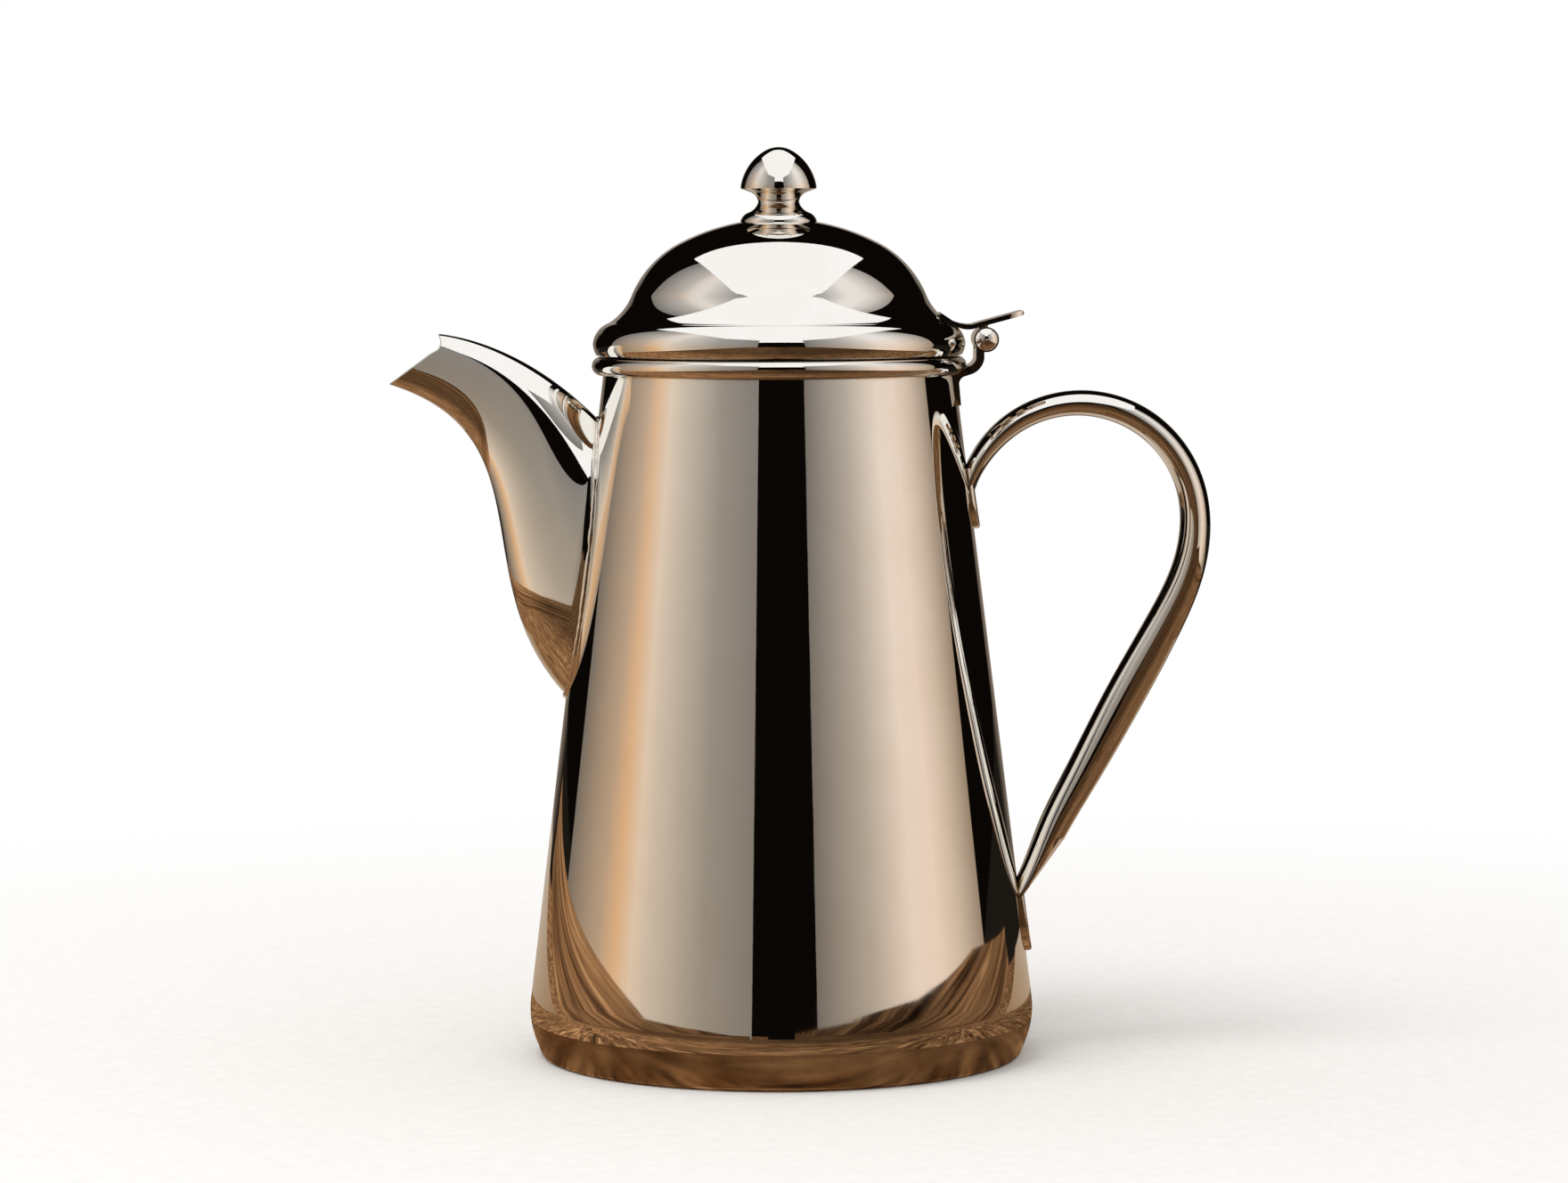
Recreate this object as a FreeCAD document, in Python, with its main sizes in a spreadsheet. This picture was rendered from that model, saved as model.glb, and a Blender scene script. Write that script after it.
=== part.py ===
import FreeCAD, Part
import math
import os
import re
import Sketcher

# Silver coffee pot with a hinged lid. Millimetres, Z up, origin at the middle of the foot on the table.
# The spout points to -X, the handle and the hinge are at +X.

SIZES = [
    ("base_r", 57.15, "outer radius of the wall cone, carried down to the table"),
    ("rim_r", 38.4, "outer radius of the wall at its top edge"),
    ("body_height", 153.95, "height of the top edge of the wall"),
    ("wall", 0.9, "sheet thickness of wall, lid and spout"),
    ("heel_height", 8.0, "height where the wall turns in to the foot"),
    ("heel_tuck", 3.1, "how far the wall turns in below that height"),
    ("heel_round", 10.0, "radius of the turn at that height"),
    ("foot_round", 1.5, "radius of the edge of the foot"),
    ("foot_width", 5.5, "width of the flat foot ring"),
    ("dish", 2.0, "rise of the middle of the base plate"),
    ("band_height", 4.1, "height of the rim band"),
    ("band_lap", 0.8, "thickness of the rim band over the wall edge"),
    ("band_out", 2.9, "how far the rim band stands out from the wall edge"),
    ("band_crown", 1.9, "width of the rounded top of the rim band"),
    ("strain_d", 3.0, "diameter of a strainer hole"),
    ("strain_pitch", 5.4, "spacing of the strainer holes"),
    ("root_drop", 13.0, "wall edge down to the top of the spout root"),
    ("root_height", 61.0, "height of the spout root on the wall"),
    ("root_width", 25.2, "width of the spout at its root"),
    ("beak_width", 5.2, "width of the spout at its mouth"),
    ("upper_reach", 75.2, "axis to the upper lip of the spout"),
    ("upper_rise", 5.9, "wall edge up to the upper lip"),
    ("mouth_run", 11.25, "upper lip out to the lower lip of the spout"),
    ("mouth_fall", 11.35, "upper lip down to the lower lip"),
    ("scoop", 2.2, "radius of the hollow below the upper lip"),
    ("grip_x", 66.1, "axis to the middle of the handle bow"),
    ("grip_drop", 35.4, "wall edge down to the middle of the handle bow"),
    ("grip_bow", 25.65, "radius of the handle bow"),
    ("grip_flank", 42.3, "radius where the bow runs into the straight flank"),
    ("grip_tube", 4.5, "outer radius of the round handle tube before it is shaped"),
    ("grip_wall", 0.9, "wall of the handle tube"),
    ("knee_z", 46.35, "height where the flank starts to bend to the wall"),
    ("knee_out", 6.9, "distance of the knee from the wall"),
    ("tongue_plate", 1.4, "thickness of a tongue at its tip"),
    ("tongue_root", 1.1, "thickness of a tongue under the tube"),
    ("tongue_width", 12.0, "width of a tongue"),
    ("tongue_length", 13.5, "length of a tongue"),
    ("upper_tongue", 37.4, "wall edge down to the tip of the upper tongue"),
    ("lower_tongue", 22.6, "height of the tip of the lower tongue"),
    ("vent_d", 1.2, "diameter of the vent hole of the handle"),
    ("seat_gap", 0.3, "gap between the rim band and the lid"),
    ("lid_out", 2.65, "how far the lid bead stands out from the wall edge"),
    ("bead_tuck", 0.75, "how far the lower edge of the lid bead is tucked in"),
    ("bead_low", 2.6, "lid edge up to the widest line of the bead"),
    ("bead_top", 7.15, "lid edge up to the top of the bead"),
    ("bead_width", 3.65, "width of the bead"),
    ("bead_round", 5.5, "radius of the bead above its widest line"),
    ("cove_top", 13.57, "lid edge up to the foot of the dome"),
    ("cove_width", 8.78, "widest line of the bead in to the foot of the dome"),
    ("cove_round", 12.85, "radius of the hollow between bead and dome"),
    ("dome_height", 29.95, "lid edge up to the top of the dome"),
    ("bezel_gap", 1.1, "gap between the mouth and the bezel"),
    ("bezel_wall", 0.8, "thickness of the bezel"),
    ("bezel_drop", 3.0, "wall edge down to the lower edge of the bezel"),
    ("pin_out", 4.3, "lid bead out to the hinge pin"),
    ("pin_rise", 3.3, "lid edge up to the hinge pin"),
    ("pin_r", 1.3, "radius of the hinge pin"),
    ("pin_head_r", 2.5, "radius of the heads of the hinge pin"),
    ("pin_head", 1.3, "height of the heads of the hinge pin"),
    ("run_gap", 0.05, "running clearance on the hinge pin"),
    ("side_gap", 0.15, "gap between two knuckles"),
    ("knuckle_r", 2.75, "outer radius of the knuckles"),
    ("knuckle_length", 7.0, "length of the middle knuckle"),
    ("hinge_width", 18.0, "width over the three knuckles"),
    ("strap", 1.8, "thickness of the body leaf"),
    ("strap_drop", 10.0, "wall edge down to the end of the body leaf"),
    ("lever_width", 14.0, "width of the lid leaf and thumb lever"),
    ("lever_plate", 1.1, "thickness of the thumb lever"),
    ("lever_gap", 0.3, "gap between the thumb lever and the outer knuckles"),
    ("lever_tilt", 15.0, "slope of the thumb lever in degrees"),
    ("lever_reach", 8.0, "pin out to the end of the thumb lever"),
    ("lever_corner", 4.0, "corner radius of the thumb lever in plan"),
    ("knob_foot", 8.4, "radius of the foot of the knob"),
    ("knob_neck", 4.5, "radius of the neck of the knob"),
    ("cap_r", 8.35, "radius of the cap of the knob"),
    ("cap_rise", 7.25, "top of the dome up to the cap of the knob"),
    ("cap_height", 8.4, "height of the cap of the knob"),
    ("cap_crown", 6.0, "radius of the top of the cap"),
    ("screw_r", 2.0, "radius of the knob screw"),
    ("screw_grip", 6.5, "length of the knob screw in the stem"),
    ("screw_head", 3.6, "radius of the head of the knob screw"),
    ("washer_r", 5.0, "radius of the washer under the lid"),
]

doc = FreeCAD.newDocument("coffee_pot")
sheet = doc.addObject("Spreadsheet::Sheet", "Sizes")
for row, (alias, value, meaning) in enumerate(SIZES, 1):
    sheet.set(f"A{row}", meaning)
    sheet.set(f"B{row}", str(value))
    sheet.setAlias(f"B{row}", alias)
doc.recompute()

ALIASES = {alias for alias, value, meaning in SIZES}
Vector = FreeCAD.Vector


def bound(text):
    """An expression with every size name led to its cell of the sheet."""
    return re.sub(r"[a-z_]+", lambda m: "Sizes." + m[0] if m[0] in ALIASES else m[0], str(text))


def number(text):
    return float(sheet.evalExpression(bound(text)))


def new_body(label):
    body = doc.addObject("PartDesign::Body", label)
    body.Label = label
    return body


def new_sketch(body, role, name):
    plane = next(f for f in body.Origin.OriginFeatures if f.Role == role)
    sketch = body.newObject("Sketcher::SketchObject", name)
    sketch.AttachmentSupport = (plane, [""])
    sketch.MapMode = "FlatFace"
    return sketch


def bind(sketch, constraint, name, text):
    sketch.renameConstraint(sketch.addConstraint(constraint), name)
    sketch.setExpression("Constraints." + name, bound(text))


def place(sketch, edge, end, name, x, y):
    """Fix one end of an edge at a pair of expressions."""
    for axis, kind, line, text in (("x", "DistanceX", -2, x), ("y", "DistanceY", -1, y)):
        value = number(text)
        if text in (0, "0"):
            sketch.addConstraint(Sketcher.Constraint("PointOnObject", edge, end, line))
        else:
            bind(sketch, Sketcher.Constraint(kind, -1, 1, edge, end, value), name + axis, text)


def arc_between(start, finish, radius):
    """Short arc; a positive radius turns left on the way from start to finish."""
    chord = finish - start
    half = chord.Length / 2
    side = Vector(-chord.y, chord.x, 0).normalize() * math.copysign(1, radius)
    centre = (start + finish) / 2 + side * math.sqrt(max(radius * radius - half * half, 0))
    angles = [math.atan2(p.y - centre.y, p.x - centre.x) for p in (start, finish)]
    if radius < 0:
        angles.reverse()
    circle = Part.Circle(centre, Vector(0, 0, 1), abs(radius))
    return Part.ArcOfCircle(circle, angles[0], angles[1])


def outline(sketch, corners):
    """Closed outline through (x, y) or (x, y, radius) corners; a radius bends the edge that leaves."""
    first = len(sketch.Geometry)
    points = [Vector(number(c[0]), number(c[1]), 0) for c in corners]
    ends = []
    for i, corner in enumerate(corners):
        start, finish = points[i], points[(i + 1) % len(points)]
        bend = number(corner[2]) if len(corner) > 2 else 0
        edge = arc_between(start, finish, bend) if bend else Part.LineSegment(start, finish)
        sketch.addGeometry(edge, False)
        ends.append((2, 1) if bend < 0 else (1, 2))
    for i, corner in enumerate(corners):
        before = (i - 1) % len(corners)
        place(sketch, first + i, ends[i][0], f"c{first + i}", corner[0], corner[1])
        sketch.addConstraint(
            Sketcher.Constraint("Coincident", first + before, ends[before][1], first + i, ends[i][0]))
        if len(corner) > 2:
            radius = Sketcher.Constraint("Radius", first + i, abs(number(corner[2])))
            bind(sketch, radius, f"r{first + i}", f"abs({corner[2]})")


def disc(sketch, x, y, radius):
    edge = len(sketch.Geometry)
    middle = Vector(number(x), number(y), 0)
    sketch.addGeometry(Part.Circle(middle, Vector(0, 0, 1), number(radius)), False)
    place(sketch, edge, 3, f"c{edge}", x, y)
    bind(sketch, Sketcher.Constraint("Radius", edge, number(radius)), f"r{edge}", radius)


def turned(body, name, corners, cut=False, role="XZ_Plane"):
    """Outline turned about the upright axis of its plane, added to the body or cut from it."""
    sketch = new_sketch(body, role, name + "_profile")
    outline(sketch, corners)
    feature = body.newObject("PartDesign::Groove" if cut else "PartDesign::Revolution", name)
    feature.Profile = sketch
    feature.ReferenceAxis = (sketch, ["V_Axis"])
    feature.Angle = 360
    return feature


def pressed(body, name, sketch, length, cut=False, sides="Symmetric", reverse=False):
    """Sketch pushed through a length, added to the body or cut from it."""
    feature = body.newObject("PartDesign::Pocket" if cut else "PartDesign::Pad", name)
    feature.Profile = sketch
    feature.SideType = sides
    feature.Reversed = reverse
    feature.setExpression("Length", bound(length))
    return feature


def slab(body, name, corners, width, cut=False):
    sketch = new_sketch(body, "XZ_Plane", name + "_profile")
    outline(sketch, corners)
    return pressed(body, name, sketch, width, cut)


def barrel(body, name, x, z, radius, length, cut=False):
    sketch = new_sketch(body, "XZ_Plane", name + "_profile")
    disc(sketch, x, z, radius)
    return pressed(body, name, sketch, length, cut)


def tilted(body, name, x, z, turn):
    """Sketch across the pot at (x, z), its upright axis leaning by turn degrees towards +X."""
    sketch = new_sketch(body, "YZ_Plane", name)
    tilt = FreeCAD.Rotation(Vector(1, 0, 0), number(turn))
    sketch.AttachmentOffset = FreeCAD.Placement(Vector(0, number(z), number(x)), tilt)
    sketch.setExpression("AttachmentOffset.Base.y", bound(z))
    sketch.setExpression("AttachmentOffset.Base.z", bound(x))
    sketch.setExpression("AttachmentOffset.Rotation.Angle", bound(turn))
    return sketch


def oval(sketch, half_width, half_height):
    """Ellipse about the origin of the sketch."""
    wide, high = number(half_width), number(half_height)
    if wide >= high:
        shape = Part.Ellipse(Vector(wide, 0, 0), Vector(0, high, 0), Vector(0, 0, 0))
        long_way, major, minor = "Horizontal", half_width, half_height
    else:
        shape = Part.Ellipse(Vector(0, high, 0), Vector(-wide, 0, 0), Vector(0, 0, 0))
        long_way, major, minor = "Vertical", half_height, half_width
    edge = sketch.addGeometry(shape, False)
    sketch.exposeInternalGeometry(edge)
    sketch.addConstraint(Sketcher.Constraint("Coincident", edge, 3, -1, 1))
    sketch.addConstraint(Sketcher.Constraint(long_way, edge + 1))
    for line, name, half in ((edge + 1, "major", major), (edge + 2, "minor", minor)):
        bind(sketch, Sketcher.Constraint("Distance", line, 2 * number(half)), name, f"2 * ({half})")


def egg(sketch, half_width, above, below):
    """Two half ellipses that meet on the widest line, which lies on the sketch's flat axis."""
    for name, height, way in (("upper", above, 1), ("lower", below, -1)):
        tip = Vector(0, way * number(height), 0)
        side = Vector(-way * number(half_width), 0, 0)
        if tip.Length > side.Length:
            long_way, halves, start = "Vertical", (height, half_width), -math.pi / 2
            shape = Part.Ellipse(tip, side, Vector(0, 0, 0))
        else:
            long_way, halves, start = "Horizontal", (half_width, height), 0
            shape = Part.Ellipse(-side, tip, Vector(0, 0, 0))
        edge = sketch.addGeometry(Part.ArcOfEllipse(shape, start, start + math.pi), False)
        sketch.exposeInternalGeometry(edge)
        sketch.addConstraint(Sketcher.Constraint("Coincident", edge, 3, -1, 1))
        sketch.addConstraint(Sketcher.Constraint(long_way, edge + 1))
        for line, half in ((edge + 1, halves[0]), (edge + 2, halves[1])):
            length = Sketcher.Constraint("Distance", line, 2 * number(half))
            bind(sketch, length, f"{name}{line - edge}", f"2 * ({half})")
        for end in (1, 2):
            sketch.addConstraint(Sketcher.Constraint("PointOnObject", edge, end, -1))


def lofted(body, name, sections, inset="0", cut=False):
    """Skin over (x, z, turn, half_width, heights) sections, each made smaller by the inset."""
    sketches = []
    for i, (x, z, turn, *halves) in enumerate(sections):
        sketch = tilted(body, f"{name}_{i}", x, z, turn)
        draw = egg if len(halves) > 2 else oval
        draw(sketch, *[f"{half} - ({inset})" for half in halves])
        sketches.append(sketch)
    feature = body.newObject("PartDesign::SubtractiveLoft" if cut else "PartDesign::AdditiveLoft", name)
    feature.Profile = sketches[0]
    feature.Sections = sketches[1:]
    feature.Ruled = False
    return feature


def vertical_bend(dx, dz):
    """Radius of an arc that is upright at one end and reaches dx across and dz up at the other."""
    return f"((({dx})^2 + ({dz})^2) / (2 * ({dx})))"


# Wall of the pot

SLOPE = "((base_r - rim_r) / body_height)"
SECANT = f"sqrt(1 + {SLOPE}^2)"
TUCK_SLOPE = "(heel_tuck / heel_height)"
TUCK_SECANT = f"sqrt(1 + {TUCK_SLOPE}^2)"
HEEL_RUN = f"(heel_round * tan((atan({SLOPE}) + atan({TUCK_SLOPE})) / 2))"
FOOT_RUN = f"(foot_round * tan((90 deg - atan({TUCK_SLOPE})) / 2))"
MOUTH_R = f"(rim_r - {SECANT} * wall)"


def wall_r(z):
    """Outer radius of the wall cone at a height."""
    return f"(base_r - {SLOPE} * ({z}))"


HEEL_X = wall_r("heel_height")
FOOT_X = f"({HEEL_X} - heel_tuck)"
FOOT_IN = f"({FOOT_X} - {FOOT_RUN} - foot_width)"

ROOT_TOP = "(body_height - root_drop)"
ROOT_LOW = "(body_height - root_drop - root_height)"

body_shell = new_body("body_shell")
turned(body_shell, "wall_sheet", [
    (FOOT_IN, 0),
    (f"{FOOT_X} - {FOOT_RUN}", 0, "foot_round"),
    (f"{FOOT_X} + {FOOT_RUN} * {TUCK_SLOPE} / {TUCK_SECANT}", f"{FOOT_RUN} / {TUCK_SECANT}"),
    (f"{HEEL_X} - {HEEL_RUN} * {TUCK_SLOPE} / {TUCK_SECANT}", f"heel_height - {HEEL_RUN} / {TUCK_SECANT}",
     "heel_round"),
    (f"{HEEL_X} - {HEEL_RUN} * {SLOPE} / {SECANT}", f"heel_height + {HEEL_RUN} / {SECANT}"),
    ("rim_r", "body_height"),
    (MOUTH_R, "body_height"),
    (f"{HEEL_X} - ({HEEL_RUN} * {SLOPE} + wall) / {SECANT}",
     f"heel_height + ({HEEL_RUN} - {SLOPE} * wall) / {SECANT}", "wall - heel_round"),
    (f"{HEEL_X} - ({HEEL_RUN} * {TUCK_SLOPE} + wall) / {TUCK_SECANT}",
     f"heel_height - ({HEEL_RUN} - {TUCK_SLOPE} * wall) / {TUCK_SECANT}"),
    (f"{FOOT_X} - {TUCK_SECANT} * wall + {TUCK_SLOPE} * wall", "wall"),
    (FOOT_IN, "wall"),
])
strainer = new_sketch(body_shell, "YZ_Plane", "strainer_plan")
for column, rows in ((-1, 8), (0, 9), (1, 8)):
    for row in range(rows):
        across = f"{column} * strain_pitch" if column else 0
        up = f"({ROOT_TOP} + {ROOT_LOW}) / 2 + {row - (rows - 1) / 2} * strain_pitch"
        disc(strainer, across, up, "strain_d / 2")
pressed(body_shell, "strainer_holes", strainer, "base_r", cut=True, sides="One side")

base_plate = new_body("base_plate")
PLATE_R = f"({FOOT_X} - {FOOT_RUN} - 1)"
turned(base_plate, "base_disc", [
    (0, "wall + dish"),
    (f"0.68 * {PLATE_R}", "wall + dish"),
    (f"0.82 * {PLATE_R}", "wall"),
    (PLATE_R, "wall"),
    (PLATE_R, "2 * wall"),
    (f"0.82 * {PLATE_R}", "2 * wall"),
    (f"0.68 * {PLATE_R}", "2 * wall + dish"),
    (0, "2 * wall + dish"),
])

# Rim band

BAND_TOP = "(body_height + band_lap)"
BAND_LOW = f"({BAND_TOP} - band_height)"
BAND_MID = f"({BAND_TOP} - band_height / 2)"
BAND_R = "(rim_r + band_out)"


def band_bulge(gap):
    """Lower and upper arc of the band, moved outwards by a gap."""
    low_x, top_x = f"{wall_r(BAND_LOW)} + {gap}", f"{BAND_R} - band_crown + {gap}"
    low_bend = vertical_bend(f"{BAND_R} - {wall_r(BAND_LOW)}", "band_height / 2")
    top_bend = vertical_bend("band_crown", "band_height / 2")
    return [(low_x, BAND_LOW, low_bend), (f"{BAND_R} + {gap}", BAND_MID, top_bend), (top_x, BAND_TOP)]


rim_band = new_body("rim_band")
turned(rim_band, "band_ring", band_bulge(0) + [
    (MOUTH_R, BAND_TOP),
    (MOUTH_R, "body_height"),
    ("rim_r", "body_height"),
])


def fit_to_wall(body):
    """Cut a soldered-on piece to the outside of the wall."""
    turned(body, "wall_seat", [
        (0, 0),
        ("base_r", 0),
        (wall_r("body_height"), "body_height"),
        (0, "body_height"),
    ], cut=True)


# Spout: two cubic curves from the wall to just past the lips, as shares of the way from root to lip

UPPER_CURVE = ((0, 0), (0.619, 1.169), (1.19, 0.993), (1.114, 1.013))
LOWER_CURVE = ((0, 0), (0.62, 0.382), (0.033, 0.871), (1.091, 1.02))
UPPER_LIP = "(body_height + upper_rise)"
LOWER_LIP = f"({UPPER_LIP} - mouth_fall)"
LOWER_REACH = "(upper_reach + mouth_run)"
SPOUT_STEPS = (-0.08, 0.06, 0.2, 0.36, 0.52, 0.68, 0.82, 0.92, 1.0)


def on_curve(curve, t):
    weights = ((1 - t) ** 3, 3 * t * (1 - t) ** 2, 3 * t * t * (1 - t), t ** 3)
    return [sum(w * point[axis] for w, point in zip(weights, curve)) for axis in (0, 1)]


def behind(t):
    """The upper curve starts slower than the lower one, so the sections fan out to the beak."""
    return 1 - (1 - t ** 1.2) ** (1 / 3) if t > 0 else t


def along(root, lip, share):
    return f"({root} + ({lip} - {root}) * {share:.4f})"


def taper(t):
    """Width of the spout, which falls all the way from the root to the beak."""
    root = (1 - t) ** 3 + 0.587 * 3 * t * (1 - t) ** 2 + 0.548 * 3 * t * t * (1 - t)
    return f"(root_width * {root:.4f} + beak_width * {t ** 3:.4f})"


def spout_sections():
    """Egg-shaped sections, widest half way up at the root and higher up along the beak."""
    sections = []
    for t in SPOUT_STEPS:
        out, up = on_curve(UPPER_CURVE, behind(t))
        top_x = along(wall_r(ROOT_TOP), "upper_reach", out)
        top_z = along(ROOT_TOP, UPPER_LIP, up)
        out, up = on_curve(LOWER_CURVE, t)
        low_x = along(wall_r(ROOT_LOW), LOWER_REACH, out)
        low_z = along(ROOT_LOW, LOWER_LIP, up)
        lean = f"atan2({low_x} - {top_x}; {top_z} - {low_z}) / 1 deg"
        high = f"sqrt(({low_x} - {top_x})^2 + ({top_z} - {low_z})^2) / 2"
        half = f"{taper(max(t, 0))} / 2"
        crest = max(t, 0) * (0.95 - 0.48 * t)
        above, below = 1 - crest, 1 + crest
        x = f"-({top_x} * {below:.4f} + {low_x} * {above:.4f}) / 2"
        z = f"({top_z} * {below:.4f} + {low_z} * {above:.4f}) / 2"
        sections.append((x, z, lean, half, f"{high} * {above:.4f}", f"{high} * {below:.4f}"))
    return sections


def spout_half(label, side):
    """Half of the spout on one side of the middle plane, side being -1 or 1."""
    body = new_body(label)
    sections = spout_sections()
    lofted(body, "outside", sections)
    lofted(body, "bore", sections, inset="wall", cut=True)
    fit_to_wall(body)
    notch_x, notch_z = "-(upper_reach - 0.41 * scoop)", f"({UPPER_LIP} - 0.955 * scoop)"
    outside = f"-{LOWER_REACH} - 3.5 * beak_width"
    slab(body, "mouth_cut", [
        ("-upper_reach - 0.14 * scoop", f"{UPPER_LIP} + 0.45 * scoop"),
        (f"{notch_x} - 0.18 * scoop", f"{notch_z} + 0.545 * scoop", "-scoop"),
        (f"{notch_x} - 0.91 * scoop", f"{notch_z} - 0.865 * scoop"),
        (f"-{LOWER_REACH}", LOWER_LIP),
        (outside, f"{LOWER_LIP} - 0.45 * scoop"),
        (outside, f"{UPPER_LIP} + 0.45 * scoop"),
    ], "2 * root_width", cut=True)
    halving = new_sketch(body, "XZ_Plane", "halving_plane")
    outline(halving, [
        (0, 0),
        (0, "2 * body_height"),
        (f"-2 * {LOWER_REACH}", "2 * body_height"),
        (f"-2 * {LOWER_REACH}", 0),
    ])
    pressed(body, "halving", halving, "root_width", cut=True, sides="One side", reverse=side > 0)
    return body


spout_near = spout_half("spout_near", -1)
spout_far = spout_half("spout_far", 1)

# Handle: bow over the top, wider flank arc, straight flank, flattened tongue at each end

BOW_Z = "(body_height - grip_drop)"
FLANK_X = "(grip_x + grip_bow - grip_flank)"
KNEE_X = f"({wall_r('knee_z')} + knee_out)"
KNEE_RUN = f"sqrt(({KNEE_X} - {FLANK_X})^2 + (knee_z - {BOW_Z})^2)"
FLANK_END = (f"((atan2(knee_z - {BOW_Z}; {KNEE_X} - {FLANK_X}) + acos(grip_flank / {KNEE_RUN}))"
             " / 1 deg)")
WALL_TILT = f"(atan({SLOPE}) / 1 deg)"
FLANK_TOP_X = f"({FLANK_X} + grip_flank * cos({FLANK_END}))"
FLANK_TOP_Z = f"({BOW_Z} + grip_flank * sin({FLANK_END}))"


def tube_section(x, z, outward, share):
    """Section of the shaped tube, pressed to a share of its radius: pressing it keeps its girth."""
    return x, z, f"90 - ({outward})", f"grip_tube * sqrt(2 - {share}^2)", f"{share} * grip_tube"


def on_bow(angle, share):
    x, z = f"grip_x + grip_bow * cos({angle})", f"{BOW_Z} + grip_bow * sin({angle})"
    return tube_section(x, z, angle, share)


def on_flank(step, share):
    x, z = along(FLANK_TOP_X, KNEE_X, step), along(FLANK_TOP_Z, "knee_z", step)
    return tube_section(x, z, FLANK_END, share)


def below_knee(drop, out, turn, share):
    """Section on the way from the knee to the wall, at shares of the knee's distance from the wall."""
    height = f"(knee_z - {drop} * knee_out)"
    return tube_section(f"{wall_r(height)} + {out} * knee_out", height, f"{FLANK_END} + {turn}", share)


HALF_FLANK = (
    f"{FLANK_X} + grip_flank * cos({FLANK_END} / 2)",
    f"{BOW_Z} + grip_flank * sin({FLANK_END} / 2)",
    f"{FLANK_END} / 2",
)
TUBE = [
    on_bow(146, 0.5),
    on_bow(118, 0.578),
    on_bow(86, 0.633),
    on_bow(52, 0.678),
    on_bow(18, 0.711),
    tube_section(*HALF_FLANK, 0.811),
    on_flank(0.05, 0.911),
    on_flank(0.38, 0.978),
    on_flank(0.72, 0.867),
    on_flank(0.92, 0.767),
]
UPPER_END = [on_bow(172, 0.356), on_bow(159, 0.422)]
LOWER_END = [below_knee(0.91, 0.5, 2, 0.578), below_knee(1.82, -0.15, 4, 0.4)]


def tongue(body, name, tip):
    """Strap that lies on the wall, its lower end rounded off."""
    head = f"({tip} + tongue_length)"
    strap = turned(body, name, [
        (wall_r(tip), tip),
        (f"{wall_r(tip)} + tongue_plate", tip),
        (f"{wall_r(head)} + tongue_root", head),
        (wall_r(head), head),
    ])
    strap.Midplane = True
    strap.setExpression("Angle", bound(f"2 * asin(tongue_width / 2 / {wall_r(tip)})"))
    shoulder = f"{tip} + tongue_width / 2"
    rounding = new_sketch(body, "YZ_Plane", name + "_end")
    outline(rounding, [
        ("tongue_width", f"{tip} - tongue_plate"),
        ("tongue_width", shoulder),
        ("tongue_width / 2", shoulder, "-tongue_width / 2"),
        (0, tip, "-tongue_width / 2"),
        ("-tongue_width / 2", shoulder),
        ("-tongue_width", shoulder),
        ("-tongue_width", f"{tip} - tongue_plate"),
    ])
    pressed(body, name + "_rounding", rounding, "base_r + 2 * tongue_plate", cut=True,
            sides="One side", reverse=True)


handle = new_body("handle")
lofted(handle, "tube", UPPER_END + TUBE + LOWER_END)
lofted(handle, "hollow", TUBE, inset="grip_wall", cut=True)
fit_to_wall(handle)
tongue(handle, "upper_strap", "(body_height - upper_tongue)")
tongue(handle, "lower_strap", "lower_tongue")
vent_x, vent_z = on_flank(0.72, 0.867)[:2]
vent = tilted(handle, "vent_plan", vent_x, vent_z, f"180 - {FLANK_END}")
disc(vent, 0, 0, "vent_d / 2")
pressed(handle, "vent_hole", vent, "2 * grip_tube", cut=True, sides="One side", reverse=True)

# Lid

LID_LOW = f"({BAND_TOP} + seat_gap)"
LID_R = "(rim_r + lid_out)"
DOME_TOP = f"({LID_LOW} + dome_height)"
DOME_FOOT_X = f"({LID_R} - cove_width)"
DOME_FOOT_Z = f"({LID_LOW} + cove_top)"
CROWN_X = f"(0.673 * {DOME_FOOT_X})"
CROWN_DROP = "(0.321 * (dome_height - cove_top))"
CROWN_Z = f"({DOME_TOP} - {CROWN_DROP})"
CROWN_R = f"(({CROWN_X}^2 + {CROWN_DROP}^2) / (2 * {CROWN_DROP}))"
SHOULDER_X = f"({DOME_FOOT_X} - {CROWN_X})"
SHOULDER_Z = f"({CROWN_Z} - {DOME_FOOT_Z})"
SHOULDER_R = (f"(({SHOULDER_X}^2 + {SHOULDER_Z}^2) * {CROWN_R}"
              f" / (2 * ({SHOULDER_Z} * ({CROWN_R} - {CROWN_DROP}) - {SHOULDER_X} * {CROWN_X})))")
BEAD_X = f"({LID_R} - bead_width)"
BEAD_Z = f"({LID_LOW} + bead_top)"
BEAD_TILT = 20
FOOT_TILT = 66


def crown_z(radius, depth=0):
    """Height of the dome at a radius, or of a face at a depth below it."""
    return f"({DOME_TOP} - {CROWN_R} + sqrt(({CROWN_R} - {depth})^2 - ({radius})^2))"


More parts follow.
